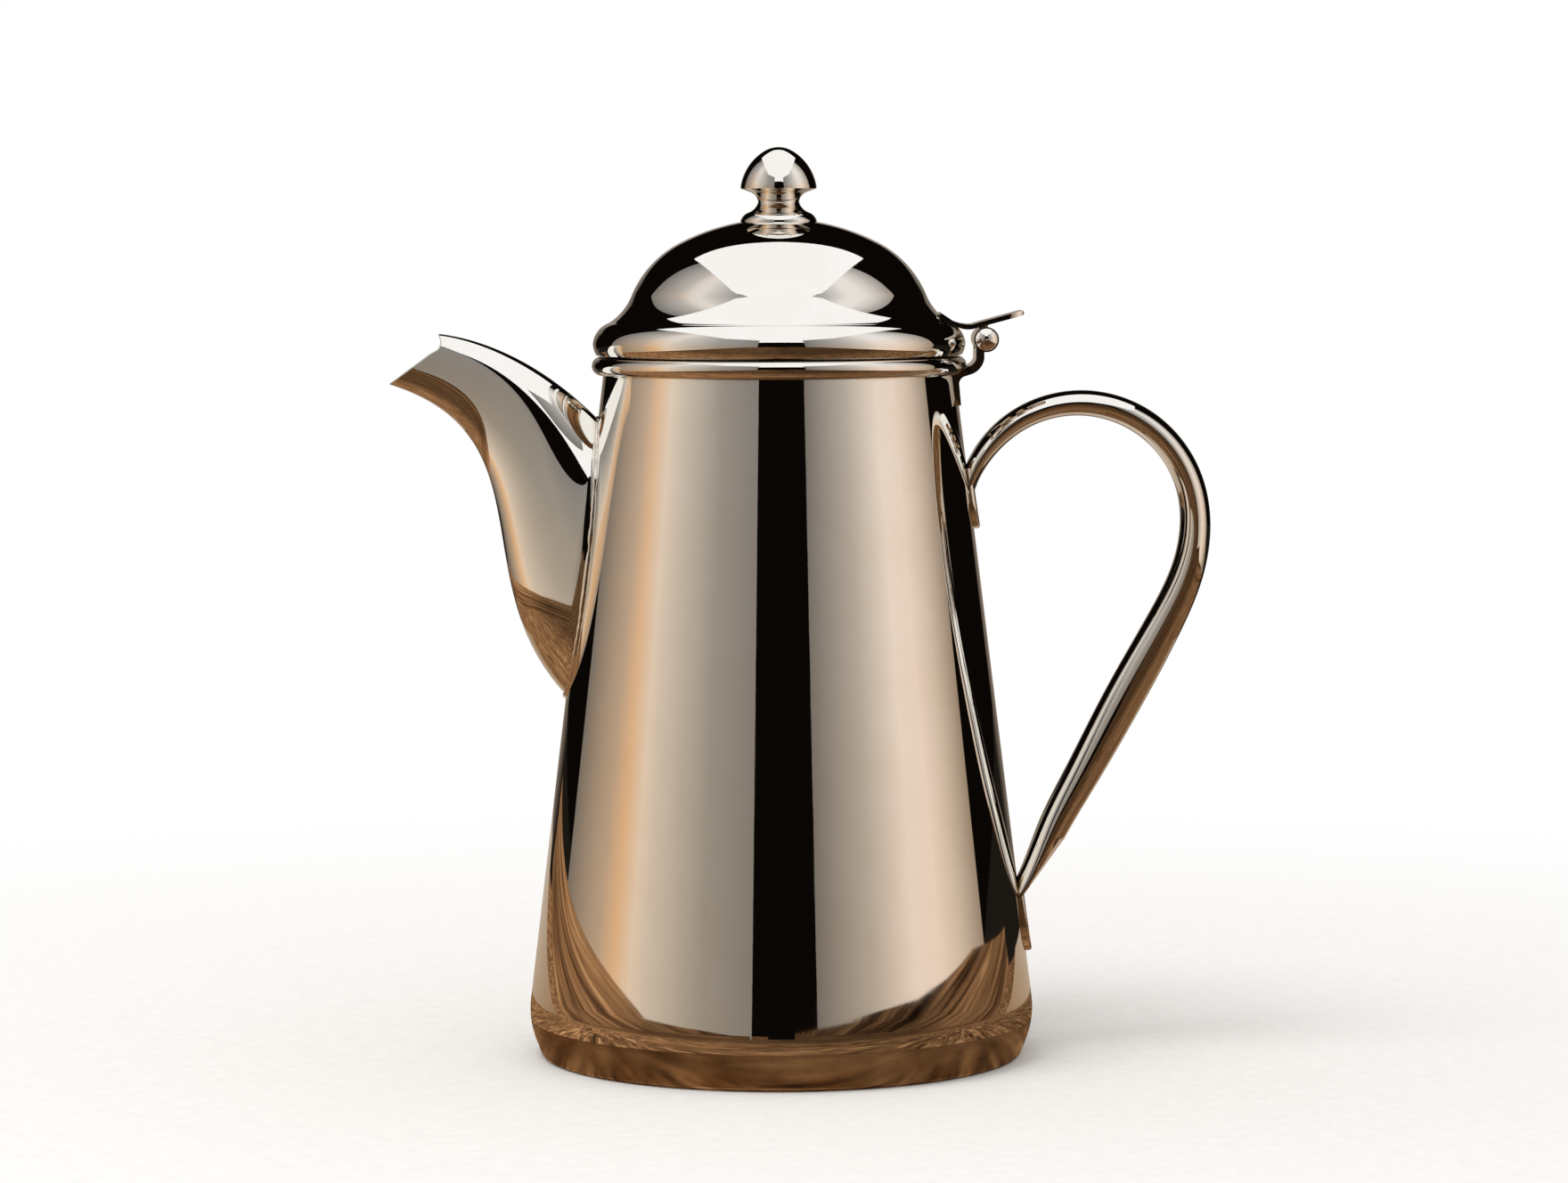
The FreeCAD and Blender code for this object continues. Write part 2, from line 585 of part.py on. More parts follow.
LID_OUTSIDE = [
    (f"{LID_R} - bead_tuck", LID_LOW, vertical_bend("bead_tuck", "bead_low")),
    (LID_R, f"{LID_LOW} + bead_low", "bead_round"),
    (BEAD_X, BEAD_Z, "-cove_round"),
    (DOME_FOOT_X, DOME_FOOT_Z, SHOULDER_R),
    (CROWN_X, CROWN_Z, CROWN_R),
    (0, DOME_TOP),
]
CROWN_SHARE = f"(({CROWN_R} - wall) / {CROWN_R})"
LID_INSIDE = [
    (0, f"{DOME_TOP} - wall", f"wall - {CROWN_R}"),
    (f"{CROWN_X} * {CROWN_SHARE}", crown_z(f"{CROWN_X} * {CROWN_SHARE}", "wall"), f"wall - {SHOULDER_R}"),
    (f"{DOME_FOOT_X} - wall * sin({FOOT_TILT})", f"{DOME_FOOT_Z} - wall * cos({FOOT_TILT})",
     "cove_round + wall"),
    (f"{BEAD_X} - wall * sin({BEAD_TILT})", f"{BEAD_Z} - wall * cos({BEAD_TILT})", "wall - bead_round"),
    (f"{LID_R} - wall", f"{LID_LOW} + bead_low"),
    (f"{LID_R} - bead_tuck - wall", f"{LID_LOW} + bezel_wall"),
    (f"{LID_R} - bead_tuck - wall", LID_LOW),
]

lid_dome = new_body("lid_dome")
turned(lid_dome, "lid_sheet", LID_OUTSIDE + LID_INSIDE)
screw_way = new_sketch(lid_dome, "XY_Plane", "screw_plan")
disc(screw_way, 0, 0, "screw_r + 0.1")
pressed(lid_dome, "screw_hole", screw_way, "2 * body_height", cut=True, sides="One side", reverse=True)

lid_bezel = new_body("lid_bezel")
BEZEL_OUT = f"({MOUTH_R} - bezel_gap)"
turned(lid_bezel, "bezel_ring", [
    (f"{BEZEL_OUT} - bezel_wall", "body_height - bezel_drop"),
    (BEZEL_OUT, "body_height - bezel_drop"),
    (BEZEL_OUT, LID_LOW),
    (f"{LID_R} - bead_tuck - wall", LID_LOW),
    (f"{LID_R} - bead_tuck - wall", f"{LID_LOW} + bezel_wall"),
    (f"{BEZEL_OUT} - bezel_wall", f"{LID_LOW} + bezel_wall"),
])

# Knob: stem on the dome, hollow cap on the stem, screw and washer from inside

CAP_Z = f"({DOME_TOP} + cap_rise)"
FOOT_Z = crown_z("knob_foot")
STEM_RISE = f"({CAP_Z} - {FOOT_Z})"

knob_stem = new_body("knob_stem")
turned(knob_stem, "stem", [
    (0, f"{DOME_TOP} + screw_grip"),
    ("screw_r", f"{DOME_TOP} + screw_grip"),
    ("screw_r", crown_z("screw_r"), f"-{CROWN_R}"),
    ("knob_foot", FOOT_Z),
    ("knob_foot", f"{FOOT_Z} + 0.04 * {STEM_RISE}", "0.35 * knob_foot"),
    ("0.78 * knob_foot", f"{FOOT_Z} + 0.265 * {STEM_RISE}", "-0.75 * knob_neck"),
    ("knob_neck", f"{FOOT_Z} + 0.55 * {STEM_RISE}", "-0.6 * knob_neck"),
    ("0.73 * cap_r", f"{FOOT_Z} + 0.81 * {STEM_RISE}"),
    ("cap_r", f"{FOOT_Z} + 0.91 * {STEM_RISE}"),
    ("cap_r", CAP_Z),
    (0, CAP_Z),
])

knob_cap = new_body("knob_cap")
CAP_TOP = f"({CAP_Z} + cap_height)"
CAP_TURN = 30
CAP_SIDE_X = f"(cap_crown * sin({CAP_TURN}))"
CAP_SIDE_Z = f"({CAP_TOP} - cap_crown * (1 - cos({CAP_TURN})))"
CAP_FALL = f"({CAP_SIDE_Z} - {CAP_Z})"
CAP_SIDE_R = (f"(((cap_r - {CAP_SIDE_X})^2 + {CAP_FALL}^2)"
              f" / (2 * ({CAP_FALL} * cos({CAP_TURN}) - (cap_r - {CAP_SIDE_X}) * sin({CAP_TURN}))))")
turned(knob_cap, "cap", [
    ("cap_r - wall", CAP_Z),
    ("cap_r", CAP_Z, CAP_SIDE_R),
    (CAP_SIDE_X, CAP_SIDE_Z, "cap_crown"),
    (0, CAP_TOP),
    (0, f"{CAP_TOP} - wall", "wall - cap_crown"),
    (f"{CAP_SIDE_X} - wall * sin({CAP_TURN})", f"{CAP_SIDE_Z} - wall * cos({CAP_TURN})",
     f"wall - {CAP_SIDE_R}"),
])

knob_washer = new_body("knob_washer")
WASHER_LOW = f"({crown_z('washer_r', 'wall')} - 0.8)"
turned(knob_washer, "washer", [
    ("screw_r + 0.1", WASHER_LOW),
    ("washer_r", WASHER_LOW),
    ("washer_r", crown_z("washer_r", "wall"), f"{CROWN_R} - wall"),
    ("screw_r + 0.1", crown_z("screw_r + 0.1", "wall")),
])

knob_screw = new_body("knob_screw")
turned(knob_screw, "screw", [
    (0, f"{WASHER_LOW} - 0.6 * screw_head", "1.4 * screw_head"),
    ("screw_head", f"{WASHER_LOW} - 0.3 * screw_head"),
    ("screw_head", WASHER_LOW),
    ("screw_r", WASHER_LOW),
    ("screw_r", f"{DOME_TOP} + screw_grip - 0.5"),
    (0, f"{DOME_TOP} + screw_grip - 0.5"),
])
slab(knob_screw, "driver_slot", [
    ("-screw_head", f"{WASHER_LOW} - screw_head"),
    ("screw_head", f"{WASHER_LOW} - screw_head"),
    ("screw_head", f"{WASHER_LOW} - 0.3 * screw_head"),
    ("-screw_head", f"{WASHER_LOW} - 0.3 * screw_head"),
], "0.3 * screw_head", cut=True)

# Hinge

PIN_X = f"({LID_R} + pin_out)"
PIN_Z = f"({LID_LOW} + pin_rise)"
SLOT = "knuckle_length + 2 * side_gap"

hinge_pin = new_body("hinge_pin")
HEAD_BEND = "((pin_head_r^2 + pin_head^2) / (2 * pin_head))"
turned(hinge_pin, "rivet", [
    (0, "-hinge_width / 2 - pin_head", HEAD_BEND),
    ("pin_head_r", "-hinge_width / 2"),
    ("pin_r", "-hinge_width / 2"),
    ("pin_r", "hinge_width / 2"),
    ("pin_head_r", "hinge_width / 2", HEAD_BEND),
    (0, "hinge_width / 2 + pin_head"),
], role="XY_Plane")
hinge_pin.setExpression("Placement.Base.x", bound(PIN_X))
hinge_pin.setExpression("Placement.Base.z", bound(PIN_Z))

hinge_body_leaf = new_body("hinge_body_leaf")
STRAP_END = "(body_height - strap_drop)"
JOG_Z = "(body_height - 4.75)"
STRAP_X = f"({PIN_X} - 0.45)"
slab(hinge_body_leaf, "strap_plate", [
    (f"{wall_r(STRAP_END)} - 2", STRAP_END),
    (f"{wall_r(STRAP_END)} + 0.2", STRAP_END),
    (f"{wall_r(JOG_Z)} + 0.4", f"{JOG_Z} - 0.4", "-1.8"),
    (f"{STRAP_X} - 4.1", f"{JOG_Z} + 1.2"),
    (f"{STRAP_X} - 2.7", f"{JOG_Z} + 1.65", "4.3"),
    (STRAP_X, f"{JOG_Z} + 5"),
    (STRAP_X, PIN_Z),
    (f"{STRAP_X} - strap", PIN_Z),
    (f"{STRAP_X} - strap", f"{JOG_Z} + 5", "-2.5"),
    (f"{STRAP_X} - 3.2", f"{JOG_Z} + 3.4"),
    (f"{STRAP_X} - 5.2", f"{JOG_Z} + 2.7"),
    (f"{wall_r(JOG_Z)} - 2", f"{JOG_Z} + 2.3"),
], "hinge_width")
fit_to_wall(hinge_body_leaf)
turned(hinge_body_leaf, "band_seat", [(0, BAND_LOW)] + band_bulge(0.1) + [(0, BAND_TOP)], cut=True)
barrel(hinge_body_leaf, "outer_knuckles", PIN_X, PIN_Z, "knuckle_r", "hinge_width")
barrel(hinge_body_leaf, "knuckle_slot", PIN_X, PIN_Z, "knuckle_r + 2 * side_gap", SLOT, cut=True)
barrel(hinge_body_leaf, "pin_hole", PIN_X, PIN_Z, "pin_r", "2 * hinge_width", cut=True)

hinge_lid_leaf = new_body("hinge_lid_leaf")
UNDER_Z = f"({PIN_Z} + knuckle_r + lever_gap)"


def under_lever(dx):
    """Underside of the thumb lever at a distance from the pin."""
    return f"{PIN_X} + ({dx})", f"{UNDER_Z} + ({dx}) * tan(lever_tilt)"


def over_lever(dx):
    x, z = under_lever(dx)
    return x, f"{z} + lever_plate / cos(lever_tilt)"


slab(hinge_lid_leaf, "lever_strip", [
    (*under_lever("-2.3"),),
    (*under_lever("lever_reach"), "0.55 * lever_plate"),
    (*over_lever("lever_reach"),),
    (*over_lever("-2"), "-4.5"),
    (f"{PIN_X} - 4.75", f"{UNDER_Z} + 0.38", "-7"),
    (f"{PIN_X} - 7.5", f"{UNDER_Z} + 1.25"),
    (f"{PIN_X} - 10", f"{UNDER_Z} + 2.95"),
    (f"{PIN_X} - 10.8", f"{UNDER_Z} + 0.9"),
    (f"{PIN_X} - 5.2", f"{UNDER_Z} - 0.7", "5.3"),
], "lever_width")
turned(hinge_lid_leaf, "lid_seat", [(0, LID_LOW)] + LID_OUTSIDE, cut=True)
slab(hinge_lid_leaf, "knuckle_web", [
    (f"{PIN_X} - 0.5 * knuckle_r", PIN_Z),
    (f"{PIN_X} + 0.2 * knuckle_r", PIN_Z),
    (f"{PIN_X} + 0.2 * knuckle_r", f"{UNDER_Z} + 0.5 * lever_plate"),
    (f"{PIN_X} - 0.5 * knuckle_r", f"{UNDER_Z} + 0.2 * lever_plate"),
], "knuckle_length")
barrel(hinge_lid_leaf, "middle_knuckle", PIN_X, PIN_Z, "knuckle_r", "knuckle_length")
barrel(hinge_lid_leaf, "pin_way", PIN_X, PIN_Z, "pin_r + run_gap", "2 * hinge_width", cut=True)
LEVER_TIP = f"({PIN_X} + lever_reach + lever_plate)"
for name, side in (("near", -1), ("far", 1)):
    corner = new_sketch(hinge_lid_leaf, "XY_Plane", f"lever_corner_{name}")
    outline(corner, [
        (f"{LEVER_TIP} - lever_corner", f"{side} * lever_width / 2", f"{-side} * lever_corner"),
        (LEVER_TIP, f"{side} * (lever_width / 2 - lever_corner)"),
        (f"{LEVER_TIP} + 2", f"{side} * (lever_width / 2 - lever_corner)"),
        (f"{LEVER_TIP} + 2", f"{side} * lever_width"),
        (f"{LEVER_TIP} - lever_corner", f"{side} * lever_width"),
    ])
    pressed(hinge_lid_leaf, corner.Name + "_cut", corner, "2 * body_height", cut=True,
            sides="One side", reverse=True)

doc.recompute()

PARTS = [body_shell, base_plate, rim_band, spout_near, spout_far, handle, hinge_body_leaf, hinge_pin,
         lid_dome, lid_bezel, hinge_lid_leaf, knob_stem, knob_cap, knob_washer, knob_screw]
for item in doc.Objects:
    if "Invalid" in item.State or "Error" in item.State:
        raise RuntimeError(f"{item.Name} is not built: {item.State}")
os.makedirs("parts", exist_ok=True)
for part in PARTS:
    if part.Shape.isNull() or not part.Shape.isValid() or len(part.Shape.Solids) != 1:
        raise RuntimeError(f"{part.Label} is not one good solid")
    part.Shape.exportStep(f"parts/{part.Label}.step")
    box = part.Shape.BoundBox
    print(f"{part.Label}: {part.Shape.Volume:.1f} mm3, x {box.XMin:.2f}..{box.XMax:.2f},",
          f"y {box.YMin:.2f}..{box.YMax:.2f}, z {box.ZMin:.2f}..{box.ZMax:.2f}")
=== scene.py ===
# %% [markdown]
# # A silver coffee pot
# A straight cone of sheet silver with a beak spout, a bent tube handle, a hinged lid and a turned knob.
# The imported CAD model is loaded first and stays as a fixed frame. Each piece below is made at the place
# where its solid is, rides on the same body and stands for it.

# %% Frame
import math

import bmesh
import bpy
import numpy as np
from mathutils import Matrix, Vector


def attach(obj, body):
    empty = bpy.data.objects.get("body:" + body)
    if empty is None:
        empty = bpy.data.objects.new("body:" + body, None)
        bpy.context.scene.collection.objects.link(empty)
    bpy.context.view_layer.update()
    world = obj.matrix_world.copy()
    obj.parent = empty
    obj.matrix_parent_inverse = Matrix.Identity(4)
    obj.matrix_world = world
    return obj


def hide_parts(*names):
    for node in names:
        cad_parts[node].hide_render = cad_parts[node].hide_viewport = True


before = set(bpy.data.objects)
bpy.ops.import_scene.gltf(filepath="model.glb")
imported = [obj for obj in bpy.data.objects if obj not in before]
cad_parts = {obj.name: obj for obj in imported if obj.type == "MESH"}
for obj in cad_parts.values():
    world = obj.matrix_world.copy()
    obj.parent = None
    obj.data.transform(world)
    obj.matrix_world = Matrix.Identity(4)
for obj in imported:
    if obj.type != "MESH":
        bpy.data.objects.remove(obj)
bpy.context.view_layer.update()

scene = bpy.context.scene
scene.view_settings.view_transform = "Standard"

# %% [markdown]
# ## Sizes
# The pot is about 112 mm across its base and 200 mm high with the knob, which makes it a one-litre pot.
# All sizes are millimetres and become metres only when a mesh is made. The wall is a plain cone, so one
# small function gives its radius at any height, and everything that is soldered to the wall asks it.

# %% Sizes of the pot
MM = 0.001
BASE_R, RIM_R, BODY_TOP, SHEET = 57.15, 38.4, 153.95, 0.9
SLOPE = (BASE_R - RIM_R) / BODY_TOP
SECANT = math.hypot(1, SLOPE)


def wall_r(z):
    """Outer radius of the wall cone at a height."""
    return BASE_R - SLOPE * z


print(f"wall {wall_r(0):.1f} to {wall_r(BODY_TOP):.1f} mm, slope {math.degrees(math.atan(SLOPE)):.2f} degrees")

# %% [markdown]
# ## Colours and nodes
# Colours are written as the sRGB hex values that one reads off a screen. Blender's shaders want linear
# light, so one function turns them. A second function adds a node: its settings go in by name, its
# inputs either as values or as the sockets to link from. The others are short names for the nodes and
# endings that most trees below need, so that a material stays readable.

# %% Colour and node helpers
def linear(hex_colour):
    """sRGB hex to a linear RGBA colour."""
    parts = [int(hex_colour[i:i + 2], 16) / 255 for i in (1, 3, 5)]
    return [p / 12.92 if p <= 0.04045 else ((p + 0.055) / 1.055) ** 2.4 for p in parts] + [1.0]


def add(tree, kind, inputs=None, **settings):
    """One node with its settings, and its inputs as values or as sockets to link from."""
    node = tree.nodes.new(kind)
    for name, value in settings.items():
        setattr(node, name, value)
    for name, value in (inputs or {}).items():
        if isinstance(value, bpy.types.NodeSocket):
            tree.links.new(value, node.inputs[name])
        else:
            node.inputs[name].default_value = value
    return node


print("mid grey", [round(c, 3) for c in linear("#808080")])


# %% Short names for nodes
def maths(tree, operation, one, two=0.0):
    """The result of a Math node on numbers or sockets."""
    return add(tree, "ShaderNodeMath", {0: one, 1: two}, operation=operation).outputs[0]


def ranged(tree, value, low, high, start, end, **settings):
    """A value carried over from the range low to high to the range start to end."""
    return add(tree, "ShaderNodeMapRange", {"Value": value, "From Min": low, "From Max": high,
                                            "To Min": start, "To Max": end}, **settings).outputs[0]


def noise(tree, place, scale, detail, **inputs):
    """The grey value of a noise at a place."""
    return add(tree, "ShaderNodeTexNoise", {"Vector": place, "Scale": scale, "Detail": detail,
                                            **inputs}).outputs[0]


def stretched(tree, place, scale):
    """A place on axes that are scaled each on its own."""
    return add(tree, "ShaderNodeMapping", {"Vector": place, "Scale": scale}).outputs[0]


def parts_of(tree, place):
    """The x, y and z of a place."""
    return add(tree, "ShaderNodeSeparateXYZ", {"Vector": place}).outputs


def stops(tree, factor, *pairs):
    """The colour at a factor on a ramp of (position, hex colour) stops."""
    node = add(tree, "ShaderNodeValToRGB", {"Fac": factor})
    ramp = node.color_ramp
    while len(ramp.elements) < len(pairs):
        ramp.elements.new(0.5)
    for element, (position, colour) in zip(ramp.elements, pairs):
        element.position = position
        element.color = linear(colour)
    return node.outputs["Color"]


print("short names for Math, Map Range, Noise, Mapping, Separate and Color Ramp")


# %% Start and end of a material
def new_material(name):
    """A material without nodes, and its tree."""
    material = bpy.data.materials.new(name)
    material.use_nodes = True
    material.node_tree.nodes.clear()
    return material, material.node_tree


def place_in(tree):
    """The place on the object, in metres."""
    return add(tree, "ShaderNodeTexCoord").outputs["Object"]


def surface(tree, shader):
    """Ends a material with a shader node."""
    add(tree, "ShaderNodeOutputMaterial", {"Surface": shader.outputs[0]})


def raised(tree, height, rise_mm, **inputs):
    """The normal over a relief of a rise in mm."""
    return add(tree, "ShaderNodeBump", {"Height": height, "Strength": 1.0, "Distance": rise_mm * MM,
                                        **inputs}).outputs[0]


def metal(tree, colour, rough, normal):
    """Ends a material as bare metal."""
    surface(tree, add(tree, "ShaderNodeBsdfPrincipled", {
        "Base Color": colour, "Metallic": 1.0, "Roughness": rough, "Normal": normal}))


print("materials end in", surface.__name__, "or", metal.__name__)

# %% [markdown]
# ## Polished silver
# The outside is sterling silver, planished, then buffed on a mop until it is a mirror. Such a surface has
# almost no colour of its own: it shows the studio. What tells the eye that it is metal and hand-made is
# small: faint waves that the planishing left, hairlines along the way the cloth is wiped, smudges where
# the gloss is a little softer, and in the corners a darker, browner tone, which is painted shade from ambient
# occlusion.
# A metal keeps its default IOR. The hairlines are about 0.1 mm apart on real silver, too fine to show
# here, so they are drawn 0.7 mm apart.

# %% Mirror silver
SMUDGE_MM, SHADE_REACH_MM, HAIR_RISE = 15.0, 2.2, 0.0006


def polished_silver(name, hairline=(0.7, 0.7, 40.0), wave_mm=24.0, wave_rise=0.02, gloss=(0.012, 0.045)):
    """Buffed silver: hairline gives the size of the wiping marks along x, y and z in mm."""
    material, tree = new_material(name)
    place = place_in(tree)
    smudge = noise(tree, place, 1000 / SMUDGE_MM, 5.0, Roughness=0.62, Distortion=0.6)
    # Painted shade: ambient occlusion darkens the silver towards brown in corners and creases.
    corner = add(tree, "ShaderNodeAmbientOcclusion", {"Distance": SHADE_REACH_MM * MM}, samples=6)
    colour = stops(tree, maths(tree, "MULTIPLY", smudge, corner.outputs["AO"]),
                   (0.04, "#5d4a35"), (0.16, "#cdbda4"), (0.26, "#f3efe8"), (0.7, "#f8f6f2"))
    waves = raised(tree, noise(tree, place, 1000 / wave_mm, 1.0), wave_rise)
    wiped = stretched(tree, place, [1000 / s for s in hairline])
    hairs = raised(tree, noise(tree, wiped, 1.0, 2.0), HAIR_RISE, Normal=waves)
    metal(tree, colour, ranged(tree, smudge, 0.35, 0.75, *gloss), hairs)
    return material


wall_silver = polished_silver("sterling silver, planished and buffed upright")
ring_silver = polished_silver("sterling silver, turned and buffed round", hairline=(40.0, 40.0, 0.7),
                              wave_mm=15.0, wave_rise=0.006)
cast_silver = polished_silver("sterling silver, filed and buffed", hairline=(6.0, 0.7, 6.0),
                              wave_mm=7.0, wave_rise=0.012, gloss=(0.05, 0.12))
print("silver finishes", wall_silver.name, "|", ring_silver.name, "|", cast_silver.name)

# %% [markdown]
# ## Spun silver, brass and solder
# Inside the pot and lid nobody buffs: the sheet keeps the fine rings of the spinning lathe, looks satin and
# has a brown bloom of old coffee low down. The rings are real, about 0.3 mm apart, and are drawn 0.9 mm
# apart so that they show. The screw and washer under the lid are turned brass. The spout is soldered
# on, and the solder line is a little greyer and rougher than the silver around it.

# %% Inside and fixing finishes
STAIN_MM, BLOOM_TOP, RING_RISE = 18.0, 120.0, 0.012


def spun_metal(name, colours, ring_mm, rough, bloom=0.0):
    """Satin metal with turning rings about the z axis; colours run from stained to clean."""
    material, tree = new_material(name)
    place = place_in(tree)
    stain = noise(tree, place, 1000 / STAIN_MM, 6.0)
    lift = ranged(tree, parts_of(tree, place)["Z"], 0.0, BLOOM_TOP * MM, -bloom, 0.0)
    colour = stops(tree, maths(tree, "ADD", stain, lift), *zip((0.25, 0.55, 0.8), colours))
    rings = noise(tree, stretched(tree, place, (12.0, 12.0, 1000 / ring_mm)), 1.0, 3.0)
    metal(tree, colour, ranged(tree, rings, 0.3, 0.7, *rough), raised(tree, rings, RING_RISE))
    return material


inner_silver = spun_metal("sterling silver, spun and left satin", ("#8d7a63", "#cfc6b8", "#e4ded4"), 0.9,
                          (0.2, 0.34), bloom=0.14)
brass = spun_metal("brass, turned", ("#8a6428", "#c39a4a", "#dcb765"), 0.4, (0.16, 0.3))
solder = polished_silver("silver solder, scraped and buffed", hairline=(1.5, 1.5, 1.5), wave_mm=2.6,
                         wave_rise=0.05, gloss=(0.12, 0.26))
print("inside", inner_silver.name, "| fixing", brass.name, "| seam", solder.name)

# %% [markdown]
# ## A lathe in Geometry Nodes
# Most of the pot was spun or turned, so its pieces follow one rule: an outline goes round the z axis. The
# outline is written as corners, with a radius where an edge is bent, and becomes a chain of points. The
# node tree lays a grid, reads for each row of it one point of the outline and swings that point round.
# A Screw modifier would do the same; the tree shows its sizes as named inputs and closes its own seam.

# %% Outline from corners
def bend(start, finish, radius, step):
    """Points of a short arc after its start; a positive radius turns left."""
    start, finish = np.array(start), np.array(finish)
    chord = finish - start
    half = np.linalg.norm(chord) / 2
    side = np.array([-chord[1], chord[0]]) / (2 * half) * math.copysign(1, radius)
    centre = (start + finish) / 2 + side * math.sqrt(max(radius * radius - half * half, 0))
    turn = 2 * math.asin(min(half / abs(radius), 1)) * math.copysign(1, radius)
    first = math.atan2(start[1] - centre[1], start[0] - centre[0])
    count = max(3, math.ceil(abs(turn) / math.radians(step)))
    angles = first + turn * np.arange(1, count + 1) / count
    return [tuple(centre + abs(radius) * np.array([math.cos(a), math.sin(a)])) for a in angles]


def outline(corners, closed=True, step=4.0, run=9.0):
    """Points of an outline through (r, z) or (r, z, radius) corners, arcs in degrees, runs in mm."""
    ring = corners + corners[:1] if closed else corners
    points = [tuple(ring[0][:2])]
    for corner, after in zip(ring, ring[1:]):
        if len(corner) > 2:
            points += bend(corner[:2], after[:2], corner[2], step)
        else:
            count = max(1, math.ceil(math.dist(corner[:2], after[:2]) / run))
            points += [tuple(np.array(corner[:2]) * (1 - i / count) + np.array(after[:2]) * i / count)
                       for i in range(1, count + 1)]
    return points


print("quarter arc", len(outline([(10, 0, 10), (0, 10)], closed=False)), "points")

# %% Lathe tree
def group_with(name, *sockets):
    """A geometry node tree with named inputs, returning the tree and the ends of its wires."""
    tree = bpy.data.node_groups.new(name, "GeometryNodeTree")
    tree.interface.new_socket("Geometry", in_out="INPUT", socket_type="NodeSocketGeometry")
    for label, kind in sockets:
        tree.interface.new_socket(label, in_out="INPUT", socket_type="NodeSocket" + kind)
    tree.interface.new_socket("Geometry", in_out="OUTPUT", socket_type="NodeSocketGeometry")
    return tree, add(tree, "NodeGroupInput").outputs


def end_group(tree, geometry, finish):
    """Every tree ends alike: instances made real, finish set."""
    real = add(tree, "GeometryNodeRealizeInstances", {"Geometry": geometry})
    dressed = add(tree, "GeometryNodeSetMaterial", {"Geometry": real.outputs[0], "Material": finish})
    add(tree, "NodeGroupOutput", {"Geometry": dressed.outputs[0]})


lathe, wires = group_with("lathe", ("Segments", "Int"), ("Finish", "Material"))
points = add(lathe, "GeometryNodeAttributeDomainSize", {"Geometry": wires["Geometry"]},
             component="MESH").outputs["Point Count"]
columns = maths(lathe, "ADD", wires["Segments"], 1.0)
grid = add(lathe, "GeometryNodeMeshGrid", {"Size X": 1.0, "Size Y": 1.0, "Vertices X": columns,
                                           "Vertices Y": points})
place = add(lathe, "GeometryNodeInputPosition").outputs[0]
share = parts_of(lathe, place)
row = maths(lathe, "MULTIPLY", maths(lathe, "ADD", share["Y"], 0.5), maths(lathe, "SUBTRACT", points, 1.0))
row = maths(lathe, "ROUND", row)
read = add(lathe, "GeometryNodeSampleIndex", {"Geometry": wires["Geometry"], "Index": row},
           data_type="FLOAT_VECTOR", domain="POINT")
lathe.links.new(place, read.inputs["Value"])
angle = maths(lathe, "MULTIPLY", share["X"], math.tau)
swung = add(lathe, "ShaderNodeVectorRotate", {"Vector": read.outputs[0], "Angle": angle}, rotation_type="Z_AXIS")
moved = add(lathe, "GeometryNodeSetPosition", {"Geometry": grid.outputs["Mesh"], "Position": swung.outputs[0]})
closed = add(lathe, "GeometryNodeMergeByDistance", {"Geometry": moved.outputs[0], "Distance": 0.004 * MM})
end_group(lathe, closed.outputs[0], wires["Finish"])
print("lathe inputs", [item.name for item in lathe.interface.items_tree if item.in_out == "INPUT"])


# %% From tree to piece
def socket_of(tree, label):
    return next(item.identifier for item in tree.interface.items_tree
                if item.in_out == "INPUT" and item.name == label)


def run_tree(piece, tree, **values):
    """Puts a tree on a piece, sets its inputs and keeps what it makes as a plain mesh."""
    modifier = piece.modifiers.new(tree.name, "NODES")
    modifier.node_group = tree
    for label, value in values.items():
        modifier[socket_of(tree, label.replace("_", " "))] = value
    graph = bpy.context.evaluated_depsgraph_get()
    made = bpy.data.meshes.new_from_object(piece.evaluated_get(graph), depsgraph=graph)
    piece.modifiers.clear()
    raw = piece.data
    piece.data = made
    bpy.data.meshes.remove(raw)
    return piece


def put(name, data):
    """An object at the origin of the scene."""
    thing = bpy.data.objects.new(name, data)
    scene.collection.objects.link(thing)
    return thing


def new_piece(name, points, edges=(), faces=()):
    """A mesh object, its points in mm."""
    mesh = bpy.data.meshes.new(name)
    mesh.from_pydata([Vector(p) * MM for p in points], edges, faces)
    return put(name, mesh)


print("pieces go to the collection", scene.collection.name)


# %% Edges and ends of a piece
def smooth(piece, angle=30.0):
    """Closes the mesh, turns its faces outwards and shades it round except over sharp edges."""
    work = bmesh.new()
    work.from_mesh(piece.data)
    bmesh.ops.remove_doubles(work, verts=work.verts, dist=0.002 * MM)
    bmesh.ops.delete(work, geom=[e for e in work.edges if not e.link_faces], context="EDGES")
    bmesh.ops.recalc_face_normals(work, faces=work.faces)
    work.to_mesh(piece.data)
    work.free()
    piece.data.shade_smooth()
    piece.data.set_sharp_from_angle(angle=math.radians(angle))
    return piece


def break_edges(piece, width_mm, segments, angle, harden=False):
    """A narrow bevel on all edges sharper than an angle in degrees."""
    edge = piece.modifiers.new("broken edge", "BEVEL")
    edge.width, edge.segments, edge.limit_method = width_mm * MM, segments, "ANGLE"
    edge.angle_limit = math.radians(angle)
    edge.harden_normals = harden


def turned(name, points, finish, segments=192):
    """A piece spun from an outline of (r, z) points."""
    chain = [(r, 0, z) for r, z in points]
    piece = new_piece(name, chain, [(i, i + 1) for i in range(len(chain) - 1)])
    return smooth(run_tree(piece, lathe, Segments=segments, Finish=finish))


